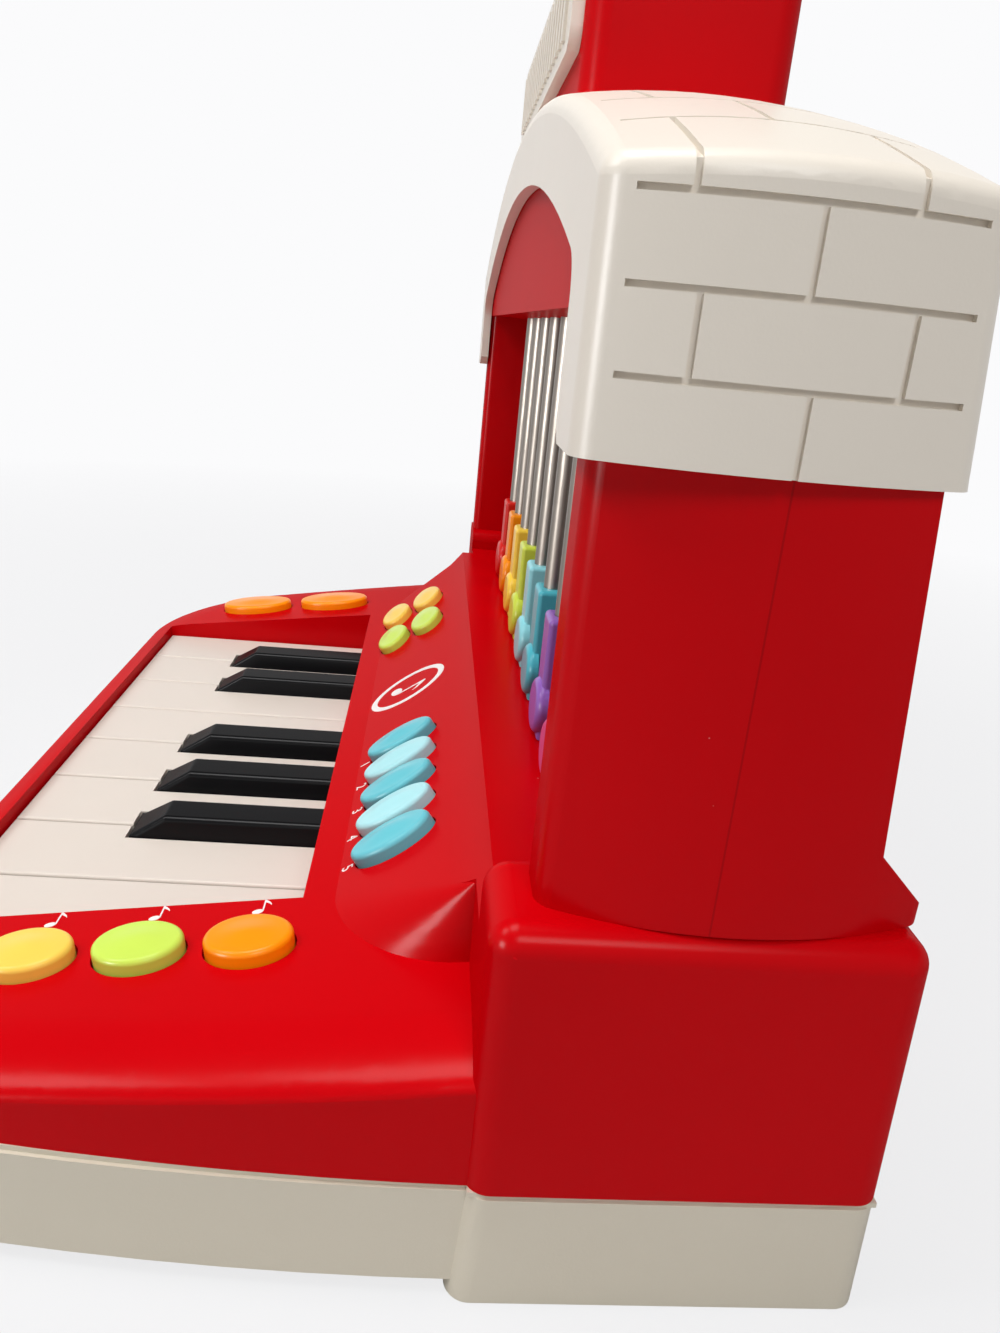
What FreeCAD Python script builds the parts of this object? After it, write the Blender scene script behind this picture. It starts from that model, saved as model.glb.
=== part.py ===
import FreeCAD, Part
import math
import os

# Toy piano: keys, push buttons and hopping notes in a two-part case with a brick-arch tower.
# Millimetres. Origin on the floor under the middle, +X to the player's right, +Y back, +Z up.

Vector = FreeCAD.Vector
UP = Vector(0, 0, 1)
ACROSS = Vector(1, 0, 0)
BACKWARD = Vector(0, 1, 0)

# Cutting tools run this far past what they cut
OVERRUN = 5.0
# Room between pieces that slide past each other, and round pins and screws in their holes
SLIDE_GAP = 0.3
BORE_GAP = 0.08
# Edges this close to a plane count as lying on it
NEAR = 0.05

# Keyboard
KEY_PITCH = 27.0
WHITE_COUNT = 8
BLACK_AFTER_WHITE = (1, 2, 4, 5, 6)
KEY_GAP = 0.8
KEY_TOP_Z = 28.0
KEY_HEIGHT = 10.0
KEY_FRONT_Y = -90.2
KEY_SKIN = 2.5
KEY_SIDE = 2.0
KEY_EDGE_ROUND = 0.8
KEY_NECK_BEHIND_LIP = 3.8
KEY_BOSS_WIDTH = 12.0
KEY_BOSS_REACH = 6.0
KEY_PRESS_DEG = 4.0
BLACK_WIDTH = 13.0
BLACK_TOP_WIDTH = 10.6
BLACK_RISE = 5.4
BLACK_TIP_SETBACK = 30.7
BLACK_NOSE = 8.5
BLACK_ROUND = 1.6
PIVOT_Y = 2.0
PIVOT_DROP = 5.5
AXLE_RADIUS = 2.0
AXLE_END = 5.0
TAIL_WIDTH = 8.0
TAIL_DROP = 2.0
TAIL_HEIGHT = 4.0
TAIL_PAST_LEG = 5.6
STOP_BAR_BEHIND_PIVOT = 12.0
STOP_BAR_DEPTH = 3.0
STOP_BAR_LEAD_GAP = 8.0
AXLE_POST_WIDTH = 4.0
AXLE_POST_DEPTH = 9.0
AXLE_POST_AFTER_WHITE = (3, 7)

# Deck shell: wedge deck with two cheeks
CASE_WALL = 2.6
CHEEK_WIDTH = 56.5
WELL_ROOM = 0.4
FRONT_RIM = 7.6
DECK_CORNER_RADIUS = 50.0
DECK_SIDE_RADIUS = 650.0
DECK_FRONT_Z = 31.0
DECK_REAR_Z = 47.3
SEAM_Z = 24.0
EDGE_REACH = 15.0
EDGE_DROP = 4.6
LIP_AHEAD_OF_PANEL = 6.8
WHITE_HEADROOM = 1.2
BLACK_HEADROOM = 1.6

# Sloped panel, its cones and the end blocks
PANEL_BASE_Y = -2.5
PANEL_ANGLE_DEG = 35.0
PANEL_RUN = 23.5
CREST_REACH = 24.0
CONE_SINK = 3.6
CONE_TIP_RADIUS = 0.6
SILL_Z = 67.0
BLOCK_PROUD = 2.0
FOOT_LAP = 1.0
BLOCK_FRONT_Y = 25.0
BLOCK_STEP = 8.0
BLOCK_ROUND = 4.5
BACK_REACH = 2.2
BACK_LEAN = 2.0
REAR_BODY_LAP = 3.0

# Tower halves
TOWER_SETBACK = 7.3
TOWER_WALL = 3.0
SPLIT_DEPTH = 26.7
PILLAR_CORNER_INSET = 8.5
PILLAR_MID_INSET = 1.5
PILLAR_DEPTH = 53.9
PILLAR_LEAN = 5.8
PILLAR_HEIGHT = 70.6
PILLAR_ROUND = 4.0
SKIRT_RISE = 14.0
SKIRT_EDGE_RISE = 3.0
SKIRT_REACH = 9.8
PILLAR_FACE = 12.0
WINDOW_ROUND = 2.5
WINDOW_HEAD = 19.4
NECK_INSET = 2.0
NECK_DROP = 15.0
NECK_BACK_INSET = 3.0
PANEL_THICKNESS = 1.5
PANEL_LEDGE = 2.0

# Brick-pattern arch cap
ROOF_RADIUS = 485.0
CAP_HEIGHT = 67.4
ROOF_SIDE_DROP = 3.0
CAP_WALL = 3.0
CAP_OVERHANG = 3.3
CAP_BACK_OVERHANG = 4.1
CAP_CORNER_INSET = 3.0
CAP_MID_PROUD = 1.5
CAP_CORNER_ROUND = 4.0
CAP_TOP_ROUND = 3.5
CAP_LEG_WIDTH = 18.5
ARCH_DEPTH = 19.0
ARCH_CORNER_RADIUS = 8.0
LEG_CHAMFER = 3.0
MORTAR_WIDTH = 0.9
MORTAR_DEPTH = 0.8
MORTAR_EDGE = 4.2
COURSE_HEIGHT = 10.9
ROOF_COURSE = 23.0
JOINT_SHARES = ((0.52,), (0.24, 0.74), (0.48,))
ROOF_JOINT_SHARES = ((0.2, 0.7), (0.45,), (0.22, 0.68))

# Box on the roof and its front plate
TOP_HALF = 70.0
TOP_FRONT_INSET = 6.4
TOP_BACK_INSET = 5.9
TOP_OVER_SIGN = 5.5
TOP_ROUND = 5.0
TOP_WALL = 3.0
SIGN_SIDE = 6.0
SIGN_THICKNESS = 2.6
SIGN_LIFT = 2.5
SIGN_HEIGHT = 21.0
SIGN_ROUND = 4.0
SIGN_RIB_PITCH = 6.4
SIGN_RIB_WIDTH = 2.6
SIGN_RIB_RISE = 0.7
SIGN_RIB_MARGIN = 3.0

# Guide rods and hopping notes
ROD_RADIUS = 2.5
ROD_AHEAD_OF_SPLIT = 13.5
ROD_SEAT = 2.0
HOPPER_STEM_HALF = 5.5
HOPPER_STEM_AHEAD = 4.2
HOPPER_STEM_BEHIND = 9.2
HOPPER_HEIGHT = 30.5
HOPPER_HEAD_HALF_LONG = 8.6
HOPPER_HEAD_HALF_HIGH = 7.0
HOPPER_HEAD_TILT_DEG = 20.0
HOPPER_HEAD_AHEAD = 5.5
HOPPER_HEAD_ROUND = 1.8
HOPPER_ROUND = 1.2
LEG_RADIUS = 2.4
LEG_BEHIND = 6.1

# Push buttons
BUTTON_TRAVEL = 1.8
BUTTON_CLEARANCE = 0.4
BUTTON_ROUND = 1.3
FLANGE_REACH = 1.4
FLANGE_SIDE = 0.2
FLANGE_THICKNESS = 1.2
STEM_RADIUS = 2.2
STEM_LENGTH = 2.0
DOME_RADIUS = 3.0
DOME_HEIGHT = 1.5
BOARD_THICKNESS = 1.6
BOARD_POST_RADIUS = 2.2
TUNE_FROM_KEYS = 17.0
TUNE_FROM_LIP = 8.2
TUNE_PITCH = 21.2
TUNE_COUNT = 3
TUNE_HALF_LONG = 8.8
TUNE_HALF_SHORT = 7.2
TUNE_RISE = 3.2
DRUM_FROM_KEYS = 20.0
DRUM_FROM_LIP = 16.7
DRUM_PITCH = 32.6
DRUM_COUNT = 2
DRUM_HALF_LONG = 14.2
DRUM_HALF_SHORT = 9.0
DRUM_RISE = 3.2
TONE_FROM_END = 9.0
TONE_PITCH = 13.7
TONE_COUNT = 5
TONE_UP_PANEL = 14.3
TONE_HALF_LONG = 10.0
TONE_HALF_SHORT = 5.9
TONE_RISE = 3.2
BEAT_FROM_END = 18.5
BEAT_PITCH = 30.0
BEAT_UP_PANEL = 6.6
BEAT_ROW_STEP = 14.0
BEAT_HALF_LONG = 10.9
BEAT_HALF_SHORT = 6.0
BEAT_RISE = 3.0
BEAT_COLUMNS_COUNT = 2
BEAT_ROWS_COUNT = 2
PANEL_BOARD_END = 4.0
PANEL_BOARD_LOW = 2.0
PANEL_BOARD_LENGTH = 23.0
PANEL_POST_SHARES = (0.08, 0.5, 0.85)
CHEEK_BOARD_HALF = 6.0

# Base tray
TRAY_WALL = 2.5
TRAY_BOTTOM_Z = 3.0
TRAY_REVEAL = 0.7
TRAY_REVEAL_HEIGHT = 1.0
FOOT_FLOOR = 4.0
FOOT_FLARE = 1.5
FOOT_ROUND = 4.5
FEET_RADIUS = 8.0
FEET_FROM_END = 46.5
FEET_FROM_FRONT = 32.2
FEET_REAR_X = 44.0
FEET_FROM_BACK = 14.2

# Key board and contact mat
BOARD_END = 4.0
BOARD_SETBACK = 16.2
BOARD_WIDTH = 54.0
BOARD_LIFT = 3.0
BOARD_RIB = 3.0
BOARD_RIB_SHARES = (-0.77, 0.0, 0.77)
MAT_THICKNESS = 1.0
MAT_MARGIN = 3.0
WHITE_DOME_SETBACK = 22.0
BLACK_DOME_INSET = 10.0
KEY_DOME_RADIUS = 4.0
KEY_DOME_ROOM = 0.4

# Fasteners
SCREW_RADIUS = 1.4
SCREW_HEAD_RADIUS = 3.0
SCREW_HEAD_HEIGHT = 2.0
SCREW_CASE_BITE = 10.0
BOSS_RADIUS = 4.2
HEAD_SEAT = 5.0
CHEEK_SCREW_FROM_END = 16.5
CHEEK_SCREW_FRONT_Y = -30.0
CHEEK_SCREW_BACK_Y = 12.0
REAR_SCREW_X = 74.0
REAR_SCREW_FROM_BACK = 12.2
TOWER_SCREW_INSET = 6.5
TOWER_SCREW_LOW = 23.0
TOWER_SCREW_STEP = 40.0
TOWER_SCREW_BITE = 12.0
TOWER_PILOT_DEPTH = 16.0
STAND_SCREW_INSET = 5.0
STAND_SCREW_AHEAD = 11.0
STAND_SCREW_BEHIND = 13.0
STAND_BOSS_HEIGHT = 9.0
STAND_SCREW_BITE = 7.0

# Speaker
SPEAKER_RADIUS = 25.0
SPEAKER_FROM_BACK = 32.2
SPEAKER_RIM = 2.0
SPEAKER_CONE_HEIGHT = 7.5
SPEAKER_MAGNET_RADIUS = 15.0
SPEAKER_MAGNET_HEIGHT = 6.5
SPEAKER_COLLAR = 2.0
SPEAKER_COLLAR_HEIGHT = 3.0
GRILLE_HOLE_RADIUS = 1.6
GRILLE_RING_STEP = 6.5
GRILLE_RING_COUNT = 3
GRILLE_HOLES_PER_RING = 6

# Batteries, their door and contacts
CELL_RADIUS = 7.1
CELL_LENGTH = 50.5
CELL_NIPPLE_RADIUS = 2.7
CELL_NIPPLE = 1.2
CELL_COUNT = 3
CELL_PITCH = 15.0
CELL_SETBACK = 14.0
CELL_ROOM = 0.6
CONTACT_THICKNESS = 0.5
CONTACT_HALF = 5.0
BATTERY_WALL = 2.0
BATTERY_WALL_TOP_Z = 18.0
DOOR_LEDGE = 2.5
DOOR_LEDGE_THICKNESS = 1.4
DOOR_THICKNESS = 2.2
DOOR_TAB = 7.0
DOOR_HEAD_HEIGHT = 1.1

# Power slide on the underside
SLIDER_FROM_KEYS = 20.0
SLIDER_Y = -8.0
SLIDER_TRAVEL = 6.0
KNOB_HALF = 3.0
KNOB_LENGTH = 7.0
KNOB_DROP = 1.6
SLIDER_PLATE_HALF = 5.0
SLIDER_PLATE_LENGTH = 20.0
SLIDER_PLATE = 1.6
RAIL_WIDTH = 1.6
RAIL_LIP = 1.2

# Leads on the tray floor, each as the points of its route
LEAD_RADIUS = 1.1
LEAD_BEND_SHARE = 0.45
SPEAKER_LEAD_ROUTE = ((0.0, 38.5), (1.6, 19.0), (0.4, 1.0), (11.0, -15.0), (24.0, -26.0))
BATTERY_LEAD_ROUTE = ((118.5, 36.0), (116.2, 14.0), (117.2, -8.0), (110.0, -27.0), (92.0, -33.0))

# Widths worked out from the sizes above
KEYBOARD_HALF = KEY_PITCH * WHITE_COUNT / 2
AXLE_HALF = KEYBOARD_HALF + AXLE_END
DECK_HALF = KEYBOARD_HALF + CHEEK_WIDTH
BLOCK_HALF = DECK_HALF + BLOCK_PROUD
FOOT_INNER_X = KEYBOARD_HALF - FOOT_LAP
TRAY_REAR_HALF = FOOT_INNER_X + REAR_BODY_LAP
CREST_X = KEYBOARD_HALF + CREST_REACH
PILLAR_CORNER_X = BLOCK_HALF - PILLAR_CORNER_INSET
WINDOW_HALF = PILLAR_CORNER_X - PILLAR_FACE
BLOCK_INNER_X = WINDOW_HALF - BLOCK_ROUND
REAR_BODY_HALF = BLOCK_INNER_X + REAR_BODY_LAP
PILLAR_MID_X = BLOCK_HALF - PILLAR_MID_INSET
NECK_HALF = PILLAR_CORNER_X - NECK_INSET
CAP_CORNER_X = BLOCK_HALF - CAP_CORNER_INSET
CAP_MID_X = BLOCK_HALF + CAP_MID_PROUD
ARCH_HALF = CAP_CORNER_X - CAP_LEG_WIDTH
SIGN_HALF = TOP_HALF - SIGN_SIDE
TUNE_X = KEYBOARD_HALF + TUNE_FROM_KEYS
DRUM_X = -KEYBOARD_HALF - DRUM_FROM_KEYS
TONE_X = KEYBOARD_HALF - TONE_FROM_END
BEAT_X = BEAT_FROM_END - KEYBOARD_HALF
PANEL_BOARD_HALF = KEYBOARD_HALF - PANEL_BOARD_END
BOARD_HALF = KEYBOARD_HALF - BOARD_END
CELL_MID_X = (FOOT_INNER_X + BLOCK_HALF) / 2
SLIDER_X = KEYBOARD_HALF + SLIDER_FROM_KEYS
CHEEK_SCREW_X = DECK_HALF - CHEEK_SCREW_FROM_END
TOWER_SCREW_X = PILLAR_CORNER_X - TOWER_SCREW_INSET
STAND_SCREW_X = PILLAR_CORNER_X - STAND_SCREW_INSET

# Depths
WELL_FRONT_Y = KEY_FRONT_Y - WELL_ROOM
FRONT_Y = WELL_FRONT_Y - FRONT_RIM
PANEL_END_Y = PANEL_BASE_Y + PANEL_RUN
LIP_Y = PANEL_BASE_Y - LIP_AHEAD_OF_PANEL
KEY_NECK_Y = LIP_Y + KEY_NECK_BEHIND_LIP
KEY_BOSS_END_Y = PIVOT_Y + KEY_BOSS_REACH
BLACK_TIP_Y = KEY_FRONT_Y + BLACK_TIP_SETBACK
STOP_BAR_Y = PIVOT_Y + STOP_BAR_BEHIND_PIVOT
TUNE_Y = LIP_Y - TUNE_FROM_LIP
DRUM_Y = LIP_Y - DRUM_FROM_LIP
BOARD_FRONT_Y = KEY_FRONT_Y + BOARD_SETBACK
BOARD_BACK_Y = BOARD_FRONT_Y + BOARD_WIDTH
WHITE_DOME_Y = BOARD_FRONT_Y + WHITE_DOME_SETBACK
BLACK_DOME_Y = BOARD_BACK_Y - BLACK_DOME_INSET
TOWER_FRONT_Y = BLOCK_FRONT_Y + TOWER_SETBACK
TOWER_SPLIT_Y = TOWER_FRONT_Y + SPLIT_DEPTH
PILLAR_BACK_Y = TOWER_FRONT_Y + PILLAR_DEPTH
PILLAR_BACK_TOP_Y = PILLAR_BACK_Y - PILLAR_LEAN
SKIRT_BACK_Y = PILLAR_BACK_Y + SKIRT_REACH
BACK_Y = SKIRT_BACK_Y + BACK_REACH
BLOCK_SPLIT_Y = TOWER_FRONT_Y - SLIDE_GAP
CAP_FRONT_Y = TOWER_FRONT_Y - CAP_OVERHANG
CAP_BACK_Y = PILLAR_BACK_TOP_Y + CAP_BACK_OVERHANG
TOP_FRONT_Y = CAP_FRONT_Y + TOP_FRONT_INSET
TOP_BACK_Y = CAP_BACK_Y - TOP_BACK_INSET
ROD_Y = TOWER_SPLIT_Y - ROD_AHEAD_OF_SPLIT
HOPPER_STEM_FRONT_Y = ROD_Y - HOPPER_STEM_AHEAD
HOPPER_STEM_BACK_Y = ROD_Y + HOPPER_STEM_BEHIND
HOPPER_HEAD_FRONT_Y = ROD_Y - HOPPER_HEAD_AHEAD
LEG_Y = ROD_Y + LEG_BEHIND
TAIL_END_Y = LEG_Y + TAIL_PAST_LEG
SPEAKER_Y = BACK_Y - SPEAKER_FROM_BACK
CELL_FRONT_Y = BLOCK_FRONT_Y + CELL_SETBACK
REAR_SCREW_Y = BACK_Y - REAR_SCREW_FROM_BACK
STAND_SCREW_FRONT_Y = TOWER_SPLIT_Y - STAND_SCREW_AHEAD
STAND_SCREW_BACK_Y = TOWER_SPLIT_Y + STAND_SCREW_BEHIND

# Heights
KEY_BOTTOM_Z = KEY_TOP_Z - KEY_HEIGHT
PIVOT_Z = KEY_TOP_Z - PIVOT_DROP
TAIL_TOP_Z = KEY_TOP_Z - TAIL_DROP
BLOCK_TOP_Z = SILL_Z + BLOCK_STEP
PILLAR_TOP_Z = BLOCK_TOP_Z + PILLAR_HEIGHT
SKIRT_TOP_Z = BLOCK_TOP_Z + SKIRT_RISE
SKIRT_EDGE_Z = BLOCK_TOP_Z + SKIRT_EDGE_RISE
WINDOW_TOP_Z = PILLAR_TOP_Z + WINDOW_HEAD
ROOF_CROWN_Z = PILLAR_TOP_Z + CAP_HEIGHT
ROOF_AXIS_Z = ROOF_CROWN_Z - ROOF_RADIUS
ARCH_CROWN_Z = ROOF_CROWN_Z - ARCH_DEPTH
NECK_CROWN_Z = ROOF_CROWN_Z - NECK_DROP
SIGN_BOTTOM_Z = ROOF_CROWN_Z + SIGN_LIFT
SIGN_TOP_Z = SIGN_BOTTOM_Z + SIGN_HEIGHT
TOP_BOX_Z = SIGN_TOP_Z + TOP_OVER_SIGN
HOPPER_TOP_Z = SILL_Z + HOPPER_HEIGHT
HOPPER_BOTTOM_Z = SILL_Z + SLIDE_GAP
TOWER_SCREW_LOW_Z = BLOCK_TOP_Z + TOWER_SCREW_LOW
TRAY_FLOOR_Z = TRAY_BOTTOM_Z + TRAY_WALL
KEY_BOARD_Z = TRAY_FLOOR_Z + BOARD_LIFT
MAT_TOP_Z = KEY_BOARD_Z + BOARD_THICKNESS + MAT_THICKNESS

# Slopes, and depths below the skin at a button
DECK_SLOPE = (DECK_REAR_Z - DECK_FRONT_Z) / (BLOCK_FRONT_Y - FRONT_Y)
DECK_ANGLE = math.atan(DECK_SLOPE)
PANEL_ANGLE = math.radians(PANEL_ANGLE_DEG)
COVE_RADIUS = (TOWER_FRONT_Y - PANEL_END_Y) / (1 - math.sin(PANEL_ANGLE))
TOWER_LEAN = PILLAR_LEAN / PILLAR_HEIGHT
FLANGE_TOP = CASE_WALL + SLIDE_GAP
STEM_END = FLANGE_TOP + FLANGE_THICKNESS + STEM_LENGTH
BOARD_DEPTH = STEM_END + BUTTON_TRAVEL + SLIDE_GAP + DOME_HEIGHT


def deck_z(y):
    return DECK_FRONT_Z + (y - FRONT_Y) * DECK_SLOPE


def panel_z(y):
    return deck_z(PANEL_BASE_Y) + (y - PANEL_BASE_Y) * math.tan(PANEL_ANGLE)


def block_back(z):
    return BACK_Y - BACK_LEAN * z / BLOCK_TOP_Z


def tower_back_y(z):
    return PILLAR_BACK_Y - (z - BLOCK_TOP_Z) * TOWER_LEAN


def cap_back_y(z):
    return CAP_BACK_Y - (z - PILLAR_TOP_Z) * TOWER_LEAN


def white_x(index):
    return (index - (WHITE_COUNT - 1) / 2) * KEY_PITCH


def boundary_x(whites_before):
    return whites_before * KEY_PITCH - KEYBOARD_HALF


# Plain solids
def box(x0, x1, y0, y1, z0, z1):
    return Part.makeBox(x1 - x0, y1 - y0, z1 - z0, Vector(x0, y0, z0))


def rod(start, direction, radius, length):
    return Part.makeCylinder(radius, length, start, direction)


def wire_face(points):
    return Part.Face(Part.makePolygon(points + points[:1]))


def along_x(profile, x0, x1):
    return wire_face([Vector(x0, y, z) for y, z in profile]).extrude(ACROSS * (x1 - x0))


def both_sides(shape):
    return [shape, shape.mirror(Vector(0, 0, 0), ACROSS)]


def joined(shapes):
    return shapes[0].multiFuse(shapes[1:]).removeSplitter()


def ellipse_bar(half_long, half_short, low, high):
    curve = Part.Ellipse(Vector(0, 0, low), half_long, half_short)
    return Part.Face(Part.Wire(curve.toShape())).extrude(UP * (high - low))


def placed(shape, origin, along, normal):
    side = normal.cross(along)
    frame = FreeCAD.Matrix(along.x, side.x, normal.x, origin.x,
                           along.y, side.y, normal.y, origin.y,
                           along.z, side.z, normal.z, origin.z,
                           0, 0, 0, 1)
    moved = shape.copy()
    moved.Placement = FreeCAD.Placement(frame)
    return moved


def rounded(shape, radius, wanted):
    return shape.makeFillet(radius, [edge for edge in shape.Edges if wanted(edge)])


def is_upright(edge):
    reach = edge.BoundBox
    return reach.XLength < NEAR and reach.ZLength > reach.YLength


# Plan outlines
def deck_outline(half, front, back, corner, side):
    """Plan with gently bowed ends that run on into round front corners."""
    side_x = half - side
    corner_y = front + corner
    swing = math.asin((back - corner_y) / (side - corner))
    corner_x = side_x + (side - corner) * math.cos(swing)

    def on_side(angle):
        return Vector(side_x + side * math.cos(angle), back - side * math.sin(angle), 0)

    def on_corner(angle):
        return Vector(corner_x + corner * math.cos(angle), corner_y - corner * math.sin(angle), 0)

    right = [Part.Arc(on_side(0), on_side(swing / 2), on_side(swing)).toShape(),
             Part.Arc(on_side(swing), on_corner((swing + math.pi / 2) / 2), on_corner(math.pi / 2)).toShape()]
    left = [edge.mirror(Vector(0, 0, 0), ACROSS) for edge in right]
    across = [Part.makeLine(Vector(-corner_x, front, 0), Vector(corner_x, front, 0)),
              Part.makeLine(Vector(-half, back, 0), Vector(half, back, 0))]
    return Part.Face(Part.Wire(Part.sortEdges(right + left + across)[0]))


def bowed_outline(corner_x, mid_x, front, back, z):
    middle = (front + back) / 2
    right = Part.Arc(Vector(corner_x, front, z), Vector(mid_x, middle, z), Vector(corner_x, back, z))
    left = Part.Arc(Vector(-corner_x, back, z), Vector(-mid_x, middle, z), Vector(-corner_x, front, z))
    edges = [Part.makeLine(Vector(-corner_x, front, z), Vector(corner_x, front, z)),
             right.toShape(),
             Part.makeLine(Vector(corner_x, back, z), Vector(-corner_x, back, z)),
             left.toShape()]
    return Part.Face(Part.Wire(edges))


# Deck shell
def deck_body(inset, low_z):
    """Wedge deck whose top edge rounds over a long reach and a short drop."""
    reach = EDGE_REACH - inset
    drop = EDGE_DROP - inset
    stretch = reach / drop
    half = (DECK_HALF - inset) / stretch
    front = (FRONT_Y + inset) / stretch
    back = (TOWER_FRONT_Y + BLOCK_ROUND) / stretch
    flat = deck_outline(half, front, back, (DECK_CORNER_RADIUS - inset) / stretch,
                        (DECK_SIDE_RADIUS - inset) / stretch)
    slab = flat.extrude(UP * (deck_z(0) - inset))
    top = slab.BoundBox.ZMax
    slab = rounded(slab, drop, lambda edge: (edge.BoundBox.ZMin > top - NEAR
                                             and edge.BoundBox.YMin < back - NEAR))
    tilt = FreeCAD.Matrix()
    tilt.A11 = stretch
    tilt.A22 = stretch
    tilt.A32 = DECK_SLOPE * stretch
    kept = box(-BLOCK_HALF, BLOCK_HALF, FRONT_Y - OVERRUN, BACK_Y, low_z, BLOCK_TOP_Z)
    return slab.transformGeometry(tilt).common(kept)


def panel_body(inset, low_z, top_z, half):
    """Ridge with the sloped button panel and the cove that meets the tower."""
    radius = COVE_RADIUS + inset
    centre_y = TOWER_FRONT_Y - COVE_RADIUS
    centre_z = panel_z(PANEL_END_Y) + COVE_RADIUS * math.cos(PANEL_ANGLE)
    base_z = panel_z(PANEL_BASE_Y) - inset / math.cos(PANEL_ANGLE)
    end = math.asin((centre_z - top_z) / radius)
    middle = (end + math.pi / 2 - PANEL_ANGLE) / 2

    def on_cove(angle):
        return Vector(-half, centre_y + radius * math.cos(angle), centre_z - radius * math.sin(angle))

    foot = Vector(-half, PANEL_BASE_Y, low_z)
    base = Vector(-half, PANEL_BASE_Y, base_z)
    start = on_cove(math.pi / 2 - PANEL_ANGLE)
    stop = on_cove(end)
    back_top = Vector(-half, TOWER_FRONT_Y + BLOCK_ROUND, top_z)
    back_foot = Vector(-half, TOWER_FRONT_Y + BLOCK_ROUND, low_z)
    edges = [Part.makeLine(foot, base), Part.makeLine(base, start),
             Part.Arc(start, on_cove(middle), stop).toShape(),
             Part.makeLine(stop, back_top), Part.makeLine(back_top, back_foot),
             Part.makeLine(back_foot, foot)]
    return Part.Face(Part.Wire(edges)).extrude(ACROSS * (half * 2))


PANEL_PLAN_RUN = BLOCK_FRONT_Y - PANEL_BASE_Y


def ridge_end(inset, low_z, top_z, end_x):
    """Panel that runs on beside the keyboard, cut back to the line where the cone takes over."""
    cut_back = inset * math.hypot(CREST_REACH, PANEL_PLAN_RUN) / PANEL_PLAN_RUN
    start_x = KEYBOARD_HALF - cut_back
    crest_x = CREST_X - cut_back
    stop_x = end_x - inset
    corners = ((start_x, PANEL_BASE_Y), (crest_x, BLOCK_FRONT_Y), (stop_x, BLOCK_FRONT_Y),
               (stop_x, TOWER_FRONT_Y), (start_x, TOWER_FRONT_Y))
    plan = wire_face([Vector(x, y, low_z) for x, y in corners])
    return panel_body(inset, low_z, top_z, end_x).common(plan.extrude(UP * (top_z - low_z)))


def panel_cone(inset):
    """Leaning cone that rounds off one end of the panel."""
    start_radius = PANEL_PLAN_RUN + CONE_SINK / math.tan(PANEL_ANGLE)
    start_z = deck_z(PANEL_BASE_Y) - CONE_SINK - inset / math.cos(PANEL_ANGLE)
    rings = []
    for radius in (start_radius, CONE_TIP_RADIUS):
        x = CREST_X - CREST_REACH * radius / PANEL_PLAN_RUN - inset
        z = start_z + (start_radius - radius) * math.tan(PANEL_ANGLE)
        rings.append(Part.Wire(Part.makeCircle(radius, Vector(x, BLOCK_FRONT_Y, z), UP)))
    return Part.makeLoft(rings, True, True)


def block_body(inset, low_z, front_y):
    profile = [(front_y + inset, low_z), (front_y + inset, BLOCK_TOP_Z - inset),
               (block_back(BLOCK_TOP_Z) - inset, BLOCK_TOP_Z - inset), (block_back(low_z) - inset, low_z)]
    return along_x(profile, BLOCK_INNER_X + inset, BLOCK_HALF - inset)


def end_blocks():
    """Blocks under the pillars. The right-hand one stands out in front of its pillar, the other is flush."""
    right = rounded(block_body(0, SEAM_Z, BLOCK_FRONT_Y), BLOCK_ROUND,
                    lambda edge: edge.BoundBox.ZMax > SEAM_Z + BLOCK_ROUND)
    ahead = box(BLOCK_INNER_X - OVERRUN, BLOCK_HALF + OVERRUN, BLOCK_FRONT_Y - OVERRUN, BLOCK_SPLIT_Y,
                SEAM_Z - OVERRUN, BLOCK_TOP_Z + OVERRUN)
    return [right, right.cut(ahead).mirror(Vector(0, 0, 0), ACROSS)]


def rear_body(inset, low_z):
    profile = [(TOWER_FRONT_Y + inset, low_z), (TOWER_FRONT_Y + inset, SILL_Z - inset),
               (block_back(SILL_Z) - inset, SILL_Z - inset), (block_back(low_z) - inset, low_z)]
    return along_x(profile, -REAR_BODY_HALF, REAR_BODY_HALF)


# Places of the buttons: a point on the outer skin, the long way of the oval, and the way out
DECK_UP = Vector(0, -math.sin(DECK_ANGLE), math.cos(DECK_ANGLE))
DECK_BACKWARD = Vector(0, math.cos(DECK_ANGLE), math.sin(DECK_ANGLE))
PANEL_UP = Vector(0, -math.sin(PANEL_ANGLE), math.cos(PANEL_ANGLE))
PANEL_BACKWARD = Vector(0, math.cos(PANEL_ANGLE), math.sin(PANEL_ANGLE))
PANEL_FOOT = Vector(0, PANEL_BASE_Y, deck_z(PANEL_BASE_Y))


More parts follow.
